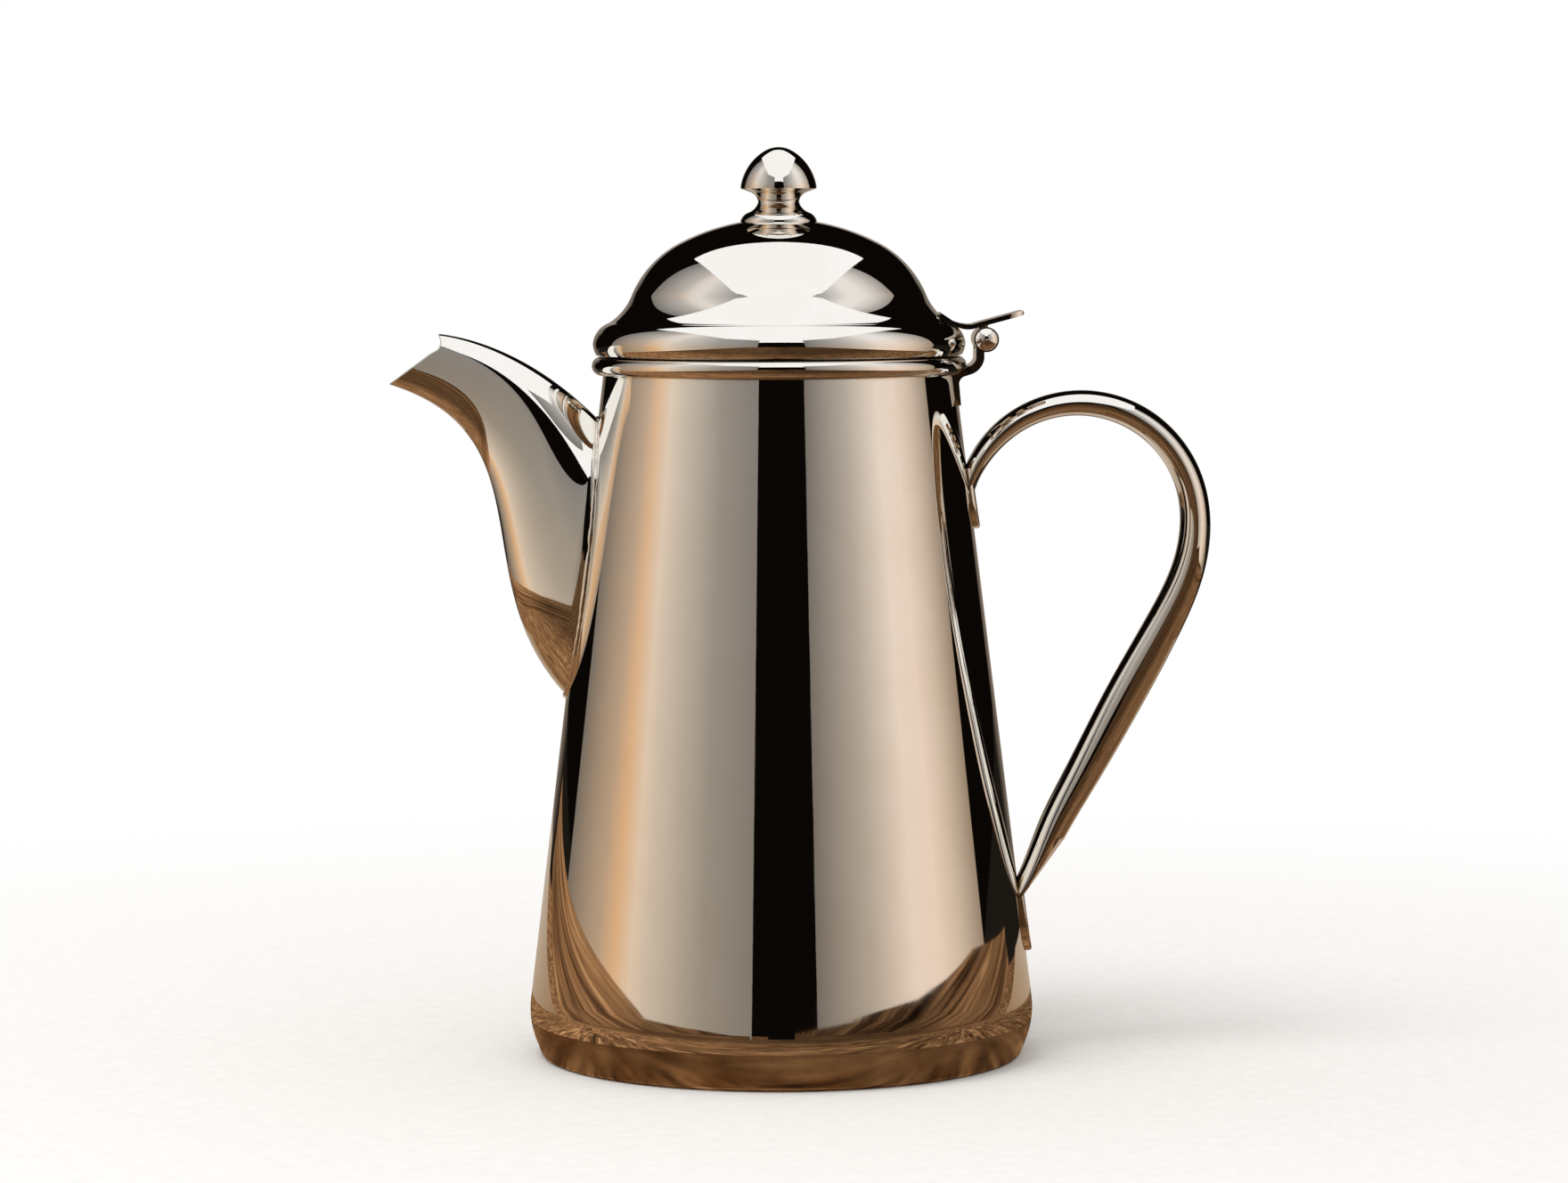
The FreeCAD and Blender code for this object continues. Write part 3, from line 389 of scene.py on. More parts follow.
def show(piece, body, slot, *nodes):
    """Lets a finished piece ride on its body and stand for its solids."""
    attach(piece, body)
    if nodes:
        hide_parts(*nodes)
    print(f"{piece.name}: {len(piece.data.polygons)} faces, rides on {body}, stands for {nodes}")


print("turned pieces have", turned.__defaults__[0], "segments unless said")

# %% [markdown]
# ## Body of the pot
# The wall is one cone of 0.9 mm sheet. At the bottom it turns in over a soft heel to a flat foot ring. The
# outline below goes once round the cut sheet: up the outside, over the top edge and down the inside. The
# inside faces get the satin finish, because the buffing mop never reaches them.

# %% Wall of the pot
HEEL_Z, HEEL_TUCK, HEEL_ROUND, FOOT_ROUND, FOOT_WIDTH = 8.0, 3.1, 18.0, 1.5, 5.5
HEEL_X = wall_r(HEEL_Z)
FOOT_X = HEEL_X - HEEL_TUCK
tuck = math.atan(HEEL_TUCK / HEEL_Z)
heel_run = HEEL_ROUND * math.tan((math.atan(SLOPE) + tuck) / 2)
foot_run = FOOT_ROUND * math.tan((math.pi / 2 - tuck) / 2)
FOOT_OUT = FOOT_X - foot_run
MOUTH_R = RIM_R - SECANT * SHEET
wall_outline = outline([
    (FOOT_OUT - FOOT_WIDTH, 0),
    (FOOT_OUT, 0, FOOT_ROUND),
    (FOOT_X + foot_run * math.sin(tuck), foot_run * math.cos(tuck)),
    (HEEL_X - heel_run * math.sin(tuck), HEEL_Z - heel_run * math.cos(tuck), HEEL_ROUND),
    (HEEL_X - heel_run * SLOPE / SECANT, HEEL_Z + heel_run / SECANT),
    (RIM_R, BODY_TOP),
    (MOUTH_R, BODY_TOP),
    (HEEL_X - (heel_run * SLOPE + SHEET) / SECANT, HEEL_Z + (heel_run - SLOPE * SHEET) / SECANT,
     SHEET - HEEL_ROUND),
    (HEEL_X - heel_run * math.sin(tuck) - SHEET * math.cos(tuck),
     HEEL_Z - heel_run * math.cos(tuck) + SHEET * math.sin(tuck)),
    (FOOT_X - SHEET / math.cos(tuck) + SHEET * math.tan(tuck), SHEET),
    (FOOT_OUT - FOOT_WIDTH, SHEET),
], step=2.0, run=2.5)
pot_wall = turned("pot_wall", wall_outline, wall_silver, 256)
print(f"heel radius {HEEL_X:.2f}, foot {FOOT_OUT - FOOT_WIDTH:.2f} to {FOOT_OUT:.2f}, mouth {MOUTH_R:.2f} mm")

# %% [markdown]
# Behind the spout the wall is drilled as a strainer that holds back the grounds: three staggered columns of
# 3 mm holes. That is a repeat, so a second tree does it: a small grid of points, the outer columns shifted by
# half a pitch and one shorter, a drill on every point, and a boolean that takes the drills out of the wall.

# %% Strainer tree
ROOT_TOP, ROOT_LOW = BODY_TOP - 13.0, BODY_TOP - 74.0
HOLE_COLUMNS, HOLE_ROWS, DRILL_LONG = 3, 9, 14.0
strainer, wires = group_with("strainer", ("Hole Radius", "Float"), ("Pitch", "Float"),
                             ("Height", "Float"), ("Distance", "Float"), ("Finish", "Material"))
wide, tall, limit = (maths(strainer, "MULTIPLY", wires["Pitch"], pitches)
                     for pitches in (HOLE_COLUMNS - 1.0, HOLE_ROWS - 1.0, HOLE_ROWS / 2 - 0.3))
plan = add(strainer, "GeometryNodeMeshGrid", {"Size X": wide, "Size Y": tall, "Vertices X": HOLE_COLUMNS,
                                              "Vertices Y": HOLE_ROWS})
spot = parts_of(strainer, add(strainer, "GeometryNodeInputPosition").outputs[0])
shift = maths(strainer, "MULTIPLY", maths(strainer, "ABSOLUTE", spot["X"]), 0.5)
reach = maths(strainer, "ADD", spot["Y"], shift)
extra = maths(strainer, "GREATER_THAN", reach, limit)
spots = add(strainer, "ShaderNodeCombineXYZ", {
    "X": maths(strainer, "MULTIPLY", wires["Distance"], -1.0), "Y": spot["X"],
    "Z": maths(strainer, "ADD", reach, wires["Height"])})
kept = add(strainer, "GeometryNodeDeleteGeometry", {"Geometry": plan.outputs["Mesh"], "Selection": extra},
           domain="POINT")
stood = add(strainer, "GeometryNodeSetPosition", {"Geometry": kept.outputs[0], "Position": spots.outputs[0]})
drill = add(strainer, "GeometryNodeMeshCylinder", {"Vertices": 20, "Radius": wires["Hole Radius"],
                                                   "Depth": DRILL_LONG * MM})
drills = add(strainer, "GeometryNodeInstanceOnPoints", {
    "Points": stood.outputs[0], "Instance": drill.outputs["Mesh"], "Rotation": (0, math.pi / 2, 0)})
solid = add(strainer, "GeometryNodeRealizeInstances", {"Geometry": drills.outputs[0]})
drilled = add(strainer, "GeometryNodeMeshBoolean", {"Mesh 1": wires["Geometry"], "Mesh 2": solid.outputs[0]},
              operation="DIFFERENCE", solver="EXACT")
end_group(strainer, drilled.outputs["Mesh"], wires["Finish"])

run_tree(pot_wall, strainer, Hole_Radius=1.5 * MM, Pitch=5.4 * MM, Height=(ROOT_TOP + ROOT_LOW) / 2 * MM,
         Distance=44 * MM, Finish=wall_silver)
smooth(pot_wall)
print("drilled wall has", len(pot_wall.data.polygons), "faces")


# %% Inside finish of the wall
def inside_of(piece, finish, is_inside):
    """Gives a second finish to the faces for which is_inside(radius, z) in mm holds."""
    piece.data.materials.append(finish)
    for face in piece.data.polygons:
        x, y, z = face.center / MM
        if is_inside(math.hypot(x, y), z):
            face.material_index = len(piece.data.materials) - 1


inside_of(pot_wall, inner_silver, lambda r, z: r < wall_r(z) - 0.5 and SHEET / 2 < z < BODY_TOP - 0.1
          and (z > HEEL_Z or r < FOOT_X - 3 or z > SHEET * 0.9))
show(pot_wall, "pot", "polished_silver", "body_shell")

# %% [markdown]
# ## Base plate and rim band
# A dished disc closes the bottom. It sits on the foot ring and is only seen from below or down the mouth, so
# it is satin. The rim band is a half-round bead that stiffens the mouth: two arcs that meet at its widest
# line. In the photograph it is the thin bright line right under the lid.

# %% Base plate and rim band
def upright_bend(across, rise):
    """Radius of an arc that is upright at one end and reaches across and up at the other."""
    return (across * across + rise * rise) / (2 * across)


PLATE_R, DISH = FOOT_OUT - 1, 2.0
base_disc = turned("base_disc", outline([
    (0, SHEET + DISH), (0.68 * PLATE_R, SHEET + DISH), (0.82 * PLATE_R, SHEET), (PLATE_R, SHEET),
    (PLATE_R, 2 * SHEET), (0.82 * PLATE_R, 2 * SHEET), (0.68 * PLATE_R, 2 * SHEET + DISH),
    (0, 2 * SHEET + DISH)], closed=False), inner_silver)
show(base_disc, "pot", "spun_silver", "base_plate")

BAND_TOP, BAND_R, BAND_HALF, BAND_TUCK = BODY_TOP + 0.8, RIM_R + 2.9, 2.05, 1.9
BAND_LOW, BAND_MID = BAND_TOP - 2 * BAND_HALF, BAND_TOP - BAND_HALF
rim_bead = turned("rim_bead", outline([
    (wall_r(BAND_LOW), BAND_LOW, upright_bend(BAND_R - wall_r(BAND_LOW), BAND_HALF)),
    (BAND_R, BAND_MID, upright_bend(BAND_TUCK, BAND_HALF)),
    (BAND_R - BAND_TUCK, BAND_TOP), (MOUTH_R, BAND_TOP), (MOUTH_R, BODY_TOP), (RIM_R, BODY_TOP)]),
    ring_silver, 256)
show(rim_bead, "pot", "polished_silver", "rim_band")

# %% [markdown]
# ## Lid
# The lid is pressed from one sheet: a fat bead at the edge, a cove, a short shoulder and a flat crown. Each is
# an arc, and the arcs run into each other, so the outline needs only their end points and radii. Inside, the
# same arcs come back one sheet thickness lower. A ring under the lid, the bezel, guides it into the mouth.

# %% Arcs of the lid
LID_LOW, LID_R = BAND_TOP + 0.3, RIM_R + 2.65
DOME_TOP = LID_LOW + 29.95
BEAD_TUCK, BEAD_LOW, BEAD_ROUND, COVE_ROUND = 0.75, 2.6, 5.5, 12.85
BEAD_X, BEAD_Z = LID_R - 3.65, LID_LOW + 7.15
DOME_X, DOME_Z = LID_R - 8.78, LID_LOW + 13.57
CROWN_X, CROWN_DROP = 0.673 * DOME_X, 0.321 * (DOME_TOP - DOME_Z)
CROWN_Z = DOME_TOP - CROWN_DROP
CROWN_R = (CROWN_X ** 2 + CROWN_DROP ** 2) / (2 * CROWN_DROP)
across, rise = DOME_X - CROWN_X, CROWN_Z - DOME_Z
SHOULDER_R = (across ** 2 + rise ** 2) * CROWN_R / (2 * (rise * (CROWN_R - CROWN_DROP) - across * CROWN_X))


def crown_z(radius, depth=0.0):
    """Height of the crown at a radius, or of a face at a depth below it."""
    return DOME_TOP - CROWN_R + math.sqrt((CROWN_R - depth) ** 2 - radius ** 2)


def tucked(x, z, tilt):
    """A point one sheet thickness below the outside, where the outside leans by tilt degrees."""
    return x - SHEET * math.sin(math.radians(tilt)), z - SHEET * math.cos(math.radians(tilt))


print(f"crown radius {CROWN_R:.1f}, shoulder radius {SHOULDER_R:.1f} mm")

# %% Lid and bezel
HOLE_R, BEZEL_SHEET, BEZEL_DEEP = 2.1, 0.8, 3.0
LID_IN = LID_R - BEAD_TUCK - SHEET
inner_crown = CROWN_X * (CROWN_R - SHEET) / CROWN_R
lid_outside = [
    (LID_R - BEAD_TUCK, LID_LOW, upright_bend(BEAD_TUCK, BEAD_LOW)),
    (LID_R, LID_LOW + BEAD_LOW, BEAD_ROUND),
    (BEAD_X, BEAD_Z, -COVE_ROUND),
    (DOME_X, DOME_Z, SHOULDER_R),
    (CROWN_X, CROWN_Z, CROWN_R)]
lid_shell = turned("lid_shell", outline(lid_outside + [
    (HOLE_R, crown_z(HOLE_R)),
    (HOLE_R, crown_z(HOLE_R, SHEET), SHEET - CROWN_R),
    (inner_crown, crown_z(inner_crown, SHEET), SHEET - SHOULDER_R),
    (*tucked(DOME_X, DOME_Z, 66), COVE_ROUND + SHEET),
    (*tucked(BEAD_X, BEAD_Z, 20), SHEET - BEAD_ROUND),
    (LID_R - SHEET, LID_LOW + BEAD_LOW),
    (LID_IN, LID_LOW + BEZEL_SHEET),
    (LID_IN, LID_LOW)], step=2.5), ring_silver, 256)
lid_line = outline(lid_outside + [(0, DOME_TOP)], closed=False)
line_z, line_r = [p[1] for p in lid_line], [p[0] for p in lid_line]
inside_of(lid_shell, inner_silver,
          lambda r, z: r < np.interp(z, line_z, line_r) - 0.3 and z < crown_z(min(r, CROWN_X)) - 0.45)
show(lid_shell, "lid", "polished_silver", "lid_dome")

BEZEL_OUT = MOUTH_R - 1.1
lid_collar = turned("lid_collar", outline([
    (BEZEL_OUT - BEZEL_SHEET, BODY_TOP - BEZEL_DEEP), (BEZEL_OUT, BODY_TOP - BEZEL_DEEP), (BEZEL_OUT, LID_LOW),
    (LID_IN, LID_LOW), (LID_IN, LID_LOW + BEZEL_SHEET), (BEZEL_OUT - BEZEL_SHEET, LID_LOW + BEZEL_SHEET)]),
    inner_silver)
show(lid_collar, "lid", "spun_silver", "lid_bezel")

# %% [markdown]
# ## Knob
# The knob is turned: a waisted stem on a spreading foot, and a hollow mushroom cap over it. The foot is
# cut to the curve of the crown. The dome below is a mirror, so the foot seems to go on downwards: that lower
# half is only its reflection and must not be modelled.

# %% Stem and cap of the knob
KNOB_FOOT, KNOB_NECK, CAP_R, CAP_Z = 8.4, 4.5, 8.35, DOME_TOP + 7.25
THREAD_R, THREAD_TOP = 2, DOME_TOP + 6.5
foot_z = crown_z(KNOB_FOOT)
stem_rise = CAP_Z - foot_z
knob_waist = turned("knob_waist", outline([
    (0, THREAD_TOP), (THREAD_R, THREAD_TOP), (THREAD_R, crown_z(THREAD_R), -CROWN_R),
    (KNOB_FOOT, foot_z),
    (KNOB_FOOT, foot_z + 0.04 * stem_rise, 0.35 * KNOB_FOOT),
    (0.78 * KNOB_FOOT, foot_z + 0.265 * stem_rise, -0.75 * KNOB_NECK),
    (KNOB_NECK, foot_z + 0.55 * stem_rise, -0.6 * KNOB_NECK),
    (0.73 * CAP_R, foot_z + 0.81 * stem_rise),
    (CAP_R, foot_z + 0.91 * stem_rise),
    (CAP_R, CAP_Z), (0, CAP_Z)], closed=False), ring_silver, 128)
show(knob_waist, "lid", "polished_silver", "knob_stem")

CAP_TOP, CAP_CROWN, CAP_TURN = CAP_Z + 8.4, 6.0, math.radians(30)
cap_x, cap_side = CAP_CROWN * math.sin(CAP_TURN), CAP_TOP - CAP_CROWN * (1 - math.cos(CAP_TURN))
cap_fall = cap_side - CAP_Z
cap_bend = (((CAP_R - cap_x) ** 2 + cap_fall ** 2)
            / (2 * (cap_fall * math.cos(CAP_TURN) - (CAP_R - cap_x) * math.sin(CAP_TURN))))
knob_dome = turned("knob_dome", outline([
    (0, CAP_TOP - SHEET, SHEET - CAP_CROWN),
    (cap_x - SHEET * math.sin(CAP_TURN), cap_side - SHEET * math.cos(CAP_TURN), SHEET - cap_bend),
    (CAP_R - SHEET, CAP_Z), (CAP_R, CAP_Z, cap_bend), (cap_x, cap_side, CAP_CROWN), (0, CAP_TOP)],
    closed=False), ring_silver, 128)
show(knob_dome, "lid", "polished_silver", "knob_cap")

# %% [markdown]
# ## Spout
# The spout was pressed in two halves and soldered along the middle. Its upper and its lower line are cubic
# curves; between them lies a fan of egg-shaped ovals, widest half way up at the root and higher up along
# the beak, so the light falls off the side just below the top. The power KEEL makes the lower half of an oval
# fuller than an ellipse. A loft of rings would have to be cut by the wall and by the slanted mouth, and a
# boolean leaves ragged shading on a mirror. So the skin is made of lines that run along the spout, and each
# line is started exactly where it leaves the wall and ended exactly at the cut of the mouth.

# %% Curves of the spout
UPPER = ((0, 0), (0.619, 1.169), (1.19, 0.993), (1.114, 1.013))
LOWER = ((0, 0), (0.62, 0.382), (0.033, 0.871), (1.091, 1.02))
UPPER_LIP, LOWER_LIP = (75.2, BODY_TOP + 5.9), (86.45, BODY_TOP - 5.45)
ROOT_WIDTH, BEAK_WIDTH, SCOOP, KEEL = 25.2, 5.2, 2.2, 0.78
SWELL_SHARE, NECK_SHARE, CREST, CREST_FALL = 0.587, 0.548, 0.95, 0.48


def weights_at(t):
    """Shares of the four points of a cubic curve at a step t."""
    return (1 - t) ** 3, 3 * t * (1 - t) ** 2, 3 * t * t * (1 - t), t ** 3


def on_curve(curve, root, lip, t):
    """Point of a curve that is drawn from (0, 0) to about (1, 1), laid from the root to the lip."""
    weights = weights_at(t)
    return [root[i] + (lip[i] - root[i]) * sum(w * p[i] for w, p in zip(weights, curve)) for i in (0, 1)]


def spout_point(t, turn, inset):
    """Point of the spout skin at a step t along it and an angle round its oval."""
    late = 1 - (1 - t ** 1.2) ** (1 / 3) if t > 0 else t
    top = on_curve(UPPER, (wall_r(ROOT_TOP), ROOT_TOP), UPPER_LIP, late)
    low = on_curve(LOWER, (wall_r(ROOT_LOW), ROOT_LOW), LOWER_LIP, t)
    high = math.dist(top, low) / 2
    up_x, up_z = (low[0] - top[0]) / (2 * high), (top[1] - low[1]) / (2 * high)
    root, swell, neck, beak = weights_at(max(t, 0))
    wide = ROOT_WIDTH / 2 * (root + SWELL_SHARE * swell + NECK_SHARE * neck) + BEAK_WIDTH / 2 * beak
    crest = high * max(t, 0) * (CREST - CREST_FALL * t)
    side, rise = math.cos(turn), math.sin(turn)
    power = 1.0 if rise > 0 else KEEL
    lift = crest + (high - inset - math.copysign(crest, rise)) * math.copysign(abs(rise) ** power, rise)
    return np.array([-(top[0] + low[0]) / 2 + lift * up_x,
                     (wide - inset) * math.copysign(abs(side) ** power, side),
                     (top[1] + low[1]) / 2 + lift * up_z])


print("beak tip", np.round(spout_point(1.0, math.pi / 2, 0), 1), np.round(spout_point(1.0, -math.pi / 2, 0), 1))

# %% Cuts of the spout
notch_x, notch_z = -(UPPER_LIP[0] - 0.41 * SCOOP), UPPER_LIP[1] - 0.955 * SCOOP
mouth_line = outline([
    (-UPPER_LIP[0] - 0.14 * SCOOP, UPPER_LIP[1] + 0.45 * SCOOP),
    (notch_x - 0.18 * SCOOP, notch_z + 0.545 * SCOOP, -SCOOP),
    (notch_x - 0.91 * SCOOP, notch_z - 0.865 * SCOOP),
    (-UPPER_LIP[0] - 11.25, LOWER_LIP[1])], closed=False)[::-1]
mouth_z, mouth_x = [p[1] for p in mouth_line], [p[0] for p in mouth_line]


def off_wall(p, sunk):
    """Distance of a point from a cone that lies sunk in the wall."""
    return math.hypot(p[0], p[1]) - wall_r(p[2]) + sunk


def before_mouth(p):
    """Distance of a point behind the cut of the mouth."""
    return p[0] - np.interp(p[2], mouth_z, mouth_x)


def crossing(test, low, high):
    """Step between low and high where a test changes its sign."""
    positive = test(high) > 0
    for _ in range(40):
        middle = (low + high) / 2
        if (test(middle) > 0) == positive:
            high = middle
        else:
            low = middle
    return (low + high) / 2


print(f"mouth cut from z {mouth_z[0]:.1f} to {mouth_z[-1]:.1f} mm")

# %% Skin of the spout
AROUND, ALONG = 96, 84


def spout_line(turn, inset, sunk=0.25):
    """One line along the spout from the wall to the mouth."""
    start = crossing(lambda t: off_wall(spout_point(t, turn, inset), sunk), -0.08, 0.3)
    steps = np.linspace(0.5, 1.0, 60)
    end = next((b for b in steps if before_mouth(spout_point(b, turn, inset)) < 0), None)
    if end is not None:
        end = crossing(lambda t: before_mouth(spout_point(t, turn, inset)), end - steps[1] + steps[0], end)
    return [spout_point(t, turn, inset) for t in np.linspace(start, end or 1.0, ALONG)]


def skin_faces(around, along, first=0):
    """Faces between the neighbouring lines of a closed skin."""
    faces = []
    for i in range(around):
        here, after = first + i * along, first + (i + 1) % around * along
        faces += [(here + j, after + j, after + j + 1, here + j + 1) for j in range(along - 1)]
    return faces


turns = [math.tau * i / AROUND for i in range(AROUND)]
skins = [spout_line(turn, inset) for inset in (0.0, SHEET) for turn in turns]
spout_faces = skin_faces(AROUND, ALONG) + skin_faces(AROUND, ALONG, AROUND * ALONG)
for i in range(AROUND):
    outer, outer_next = i * ALONG, (i + 1) % AROUND * ALONG
    inner, inner_next = outer + AROUND * ALONG, outer_next + AROUND * ALONG
    for j in (0, ALONG - 1):
        spout_faces.append((outer + j, outer_next + j, inner_next + j, inner + j))
beak = new_piece("beak_spout", [p for line in skins for p in line], faces=spout_faces)
beak.data.materials.append(wall_silver)
beak.data.materials.append(inner_silver)
for face in beak.data.polygons:
    face.material_index = int(AROUND * (ALONG - 1) <= face.index < 2 * AROUND * (ALONG - 1))
smooth(beak, 40)
break_edges(beak, 0.22, 3, 50)
show(beak, "pot", "polished_silver", "spout_near", "spout_far")

# %% [markdown]
# Where the spout meets the wall one sees the solder: a thin, slightly uneven line all round the root. It
# follows a path, so a tree sweeps a small circle along it and lets a noise move the skin in and out.

# %% Solder seam
seam_tree, wires = group_with("solder seam", ("Radius", "Float"), ("Unevenness", "Float"), ("Seed", "Float"),
                              ("Finish", "Material"))
path = add(seam_tree, "GeometryNodeMeshToCurve", {"Mesh": wires["Geometry"]})
thread = add(seam_tree, "GeometryNodeCurvePrimitiveCircle", {"Resolution": 10, "Radius": wires["Radius"]})
bead = add(seam_tree, "GeometryNodeCurveToMesh", {"Curve": path.outputs[0],
                                                  "Profile Curve": thread.outputs["Curve"]})
uneven = add(seam_tree, "ShaderNodeTexNoise", {"W": wires["Seed"], "Scale": 1000 / 3.5, "Detail": 3.0},
             noise_dimensions="4D")
push = maths(seam_tree, "MULTIPLY", maths(seam_tree, "SUBTRACT", uneven.outputs[0], 0.5), wires["Unevenness"])
outward = add(seam_tree, "GeometryNodeInputNormal")
offset = add(seam_tree, "ShaderNodeVectorMath", {0: outward.outputs[0], "Scale": push}, operation="SCALE")
laid = add(seam_tree, "GeometryNodeSetPosition", {"Geometry": bead.outputs[0], "Offset": offset.outputs[0]})
end_group(seam_tree, laid.outputs[0], wires["Finish"])

SEAM_STEPS, SEAM_OUT = 240, 0.05
root_line = [spout_line(turn, -SEAM_OUT, sunk=-SEAM_OUT)[0]
             for turn in np.linspace(0, math.tau, SEAM_STEPS, endpoint=False)]
seam = new_piece("spout_seam", root_line, [(i, (i + 1) % SEAM_STEPS) for i in range(SEAM_STEPS)])
run_tree(seam, seam_tree, Radius=0.55 * MM, Unevenness=1.2 * MM, Seed=4.0, Finish=solder)
show(smooth(seam, 80), "pot", "polished_silver")

# %% [markdown]
# ## Handle
# The handle is one silver tube, bent in a bow, run down along a nearly straight flank and pressed flat at both
# ends, where a tongue is soldered to the wall. Pressing keeps the girth of a tube, so a section that is pressed
# thinner gets wider. The sections are joined with natural cubic splines, which is what a bent tube does.

# %% Line and sections of the handle
GRIP_X, BOW_Z, BOW_R, FLANK_R, GRIP_TUBE = 66.1, BODY_TOP - 35.4, 25.65, 42.3, 4.5
KNEE_Z, KNEE_OUT = 46.35, 6.9
FLANK_X, KNEE_X = GRIP_X + BOW_R - FLANK_R, wall_r(KNEE_Z) + KNEE_OUT
flank_end = (math.atan2(KNEE_Z - BOW_Z, KNEE_X - FLANK_X)
             + math.acos(FLANK_R / math.hypot(KNEE_X - FLANK_X, KNEE_Z - BOW_Z)))


def on_arc(middle_x, radius, degrees, pressed):
    turn = math.radians(degrees)
    return middle_x + radius * math.cos(turn), BOW_Z + radius * math.sin(turn), degrees, pressed


def on_flank(step, pressed):
    end = math.degrees(flank_end)
    x, z, _, _ = on_arc(FLANK_X, FLANK_R, end, 0)
    return x + (KNEE_X - x) * step, z + (KNEE_Z - z) * step, end, pressed


def below_knee(drop, out, turn, pressed):
    z = KNEE_Z - drop * KNEE_OUT
    return wall_r(z) + out * KNEE_OUT, z, math.degrees(flank_end) + turn, pressed


sections = np.array(
    [on_arc(GRIP_X, BOW_R, a, s) for a, s in ((172, 0.356), (159, 0.422), (146, 0.5), (118, 0.578), (86, 0.633),
                                              (52, 0.678), (18, 0.711))]
    + [on_arc(FLANK_X, FLANK_R, math.degrees(flank_end) / 2, 0.811)]
    + [on_flank(t, s) for t, s in ((0.05, 0.911), (0.38, 0.978), (0.72, 0.867), (0.92, 0.767))]
    + [below_knee(0.91, 0.5, 2, 0.578), below_knee(1.82, -0.15, 4, 0.4)])
print(len(sections), "sections, flank ends at", round(math.degrees(flank_end), 1), "degrees")


# %% Tube of the handle
TUBE_AROUND, TUBE_ALONG, TUBE_SUNK = 48, 200, 0.4


def spline_through(knots, values):
    """Natural cubic spline through values at knots, as a function."""
    gaps, rises = np.diff(knots), np.diff(values, axis=0)
    count = len(knots)
    system, right = np.eye(count), np.zeros_like(values)
    for i in range(1, count - 1):
        system[i, i - 1:i + 2] = gaps[i - 1], 2 * (gaps[i - 1] + gaps[i]), gaps[i]
        right[i] = 6 * (rises[i] / gaps[i] - rises[i - 1] / gaps[i - 1])
    curve = np.linalg.solve(system, right)

    def at(s):
        i = min(max(np.searchsorted(knots, s) - 1, 0), count - 2)
        a, b, h = knots[i + 1] - s, s - knots[i], gaps[i]
        return ((curve[i] * a ** 3 + curve[i + 1] * b ** 3) / (6 * h)
                + (values[i] / h - curve[i] * h / 6) * a + (values[i + 1] / h - curve[i + 1] * h / 6) * b)
    return at


lengths = np.concatenate([[0], np.cumsum(np.hypot(*np.diff(sections[:, :2], axis=0).T))])
tube_at = spline_through(lengths, sections)


def tube_point(s, turn):
    x, z, outward, pressed = tube_at(s)
    lean, thick = math.radians(outward), pressed * GRIP_TUBE * math.sin(turn)
    return np.array([x + thick * math.cos(lean), GRIP_TUBE * math.sqrt(2 - pressed ** 2) * math.cos(turn),
                     z + thick * math.sin(lean)])


def tube_line(turn):
    """One line along the tube from wall to wall."""
    def outside(s):
        return off_wall(tube_point(s, turn), TUBE_SUNK)

    start, end = crossing(outside, 0, 0.12 * lengths[-1]), crossing(outside, 0.9 * lengths[-1], lengths[-1])
    return [tube_point(s, turn) for s in np.linspace(start, end, TUBE_ALONG)]


tube_points = [p for i in range(TUBE_AROUND) for p in tube_line(math.tau * i / TUBE_AROUND)]
tube_faces = skin_faces(TUBE_AROUND, TUBE_ALONG)
tube_faces += [[i * TUBE_ALONG + j for i in range(TUBE_AROUND)] for j in (0, TUBE_ALONG - 1)]
print(f"tube {lengths[-1]:.0f} mm long")

# %% [markdown]
# Each tongue is a strap that lies on the cone, round at its tip, with its edges softened by the buffing. It is
# drawn as a small grid over the wall: the height of the grid falls off as a quarter circle near the outline.

# %% Tongues of the handle
TONGUE_WIDE, TONGUE_LONG, TONGUE_THICK, TONGUE_THIN, TONGUE_EDGE = 12.0, 13.5, 1.4, 0.3, 0.75
TIP_ROWS, TONGUE_SUNK, UPPER_TIP, LOWER_TIP = 0.6, 0.3, BODY_TOP - 37.4, 22.6


def tongue_grid(tip, columns=36, rows=48):
    """Top and bottom points of a strap on the wall whose rounded end is at the height tip."""
    half = TONGUE_WIDE / 2
    top, bottom = [], []
    for j in range(rows + 1):
        turn = min(j / (rows * TIP_ROWS), 1) * math.pi / 2
        beyond = max(j / rows - TIP_ROWS, 0) / (1 - TIP_ROWS) * (TONGUE_LONG - half)
        along = half * (1 - math.cos(turn)) + beyond
        for i in range(columns + 1):
            y = max(half * math.sin(turn), 0.05) * math.sin(math.pi * (i / columns - 0.5))
            inward = half - math.hypot(y, max(half - along, 0))
            z = tip + along
            short = max(TONGUE_EDGE - inward, 0)
            rise = TONGUE_THICK - TONGUE_THIN * along / TONGUE_LONG - TONGUE_EDGE + math.sqrt(
                max(TONGUE_EDGE ** 2 - short ** 2, 0))
            for points, lift in ((top, rise), (bottom, -TONGUE_SUNK)):
                radius = wall_r(z) + lift
                points.append((math.sqrt(radius ** 2 - y ** 2), y, z))
    return top + bottom, columns + 1, rows + 1


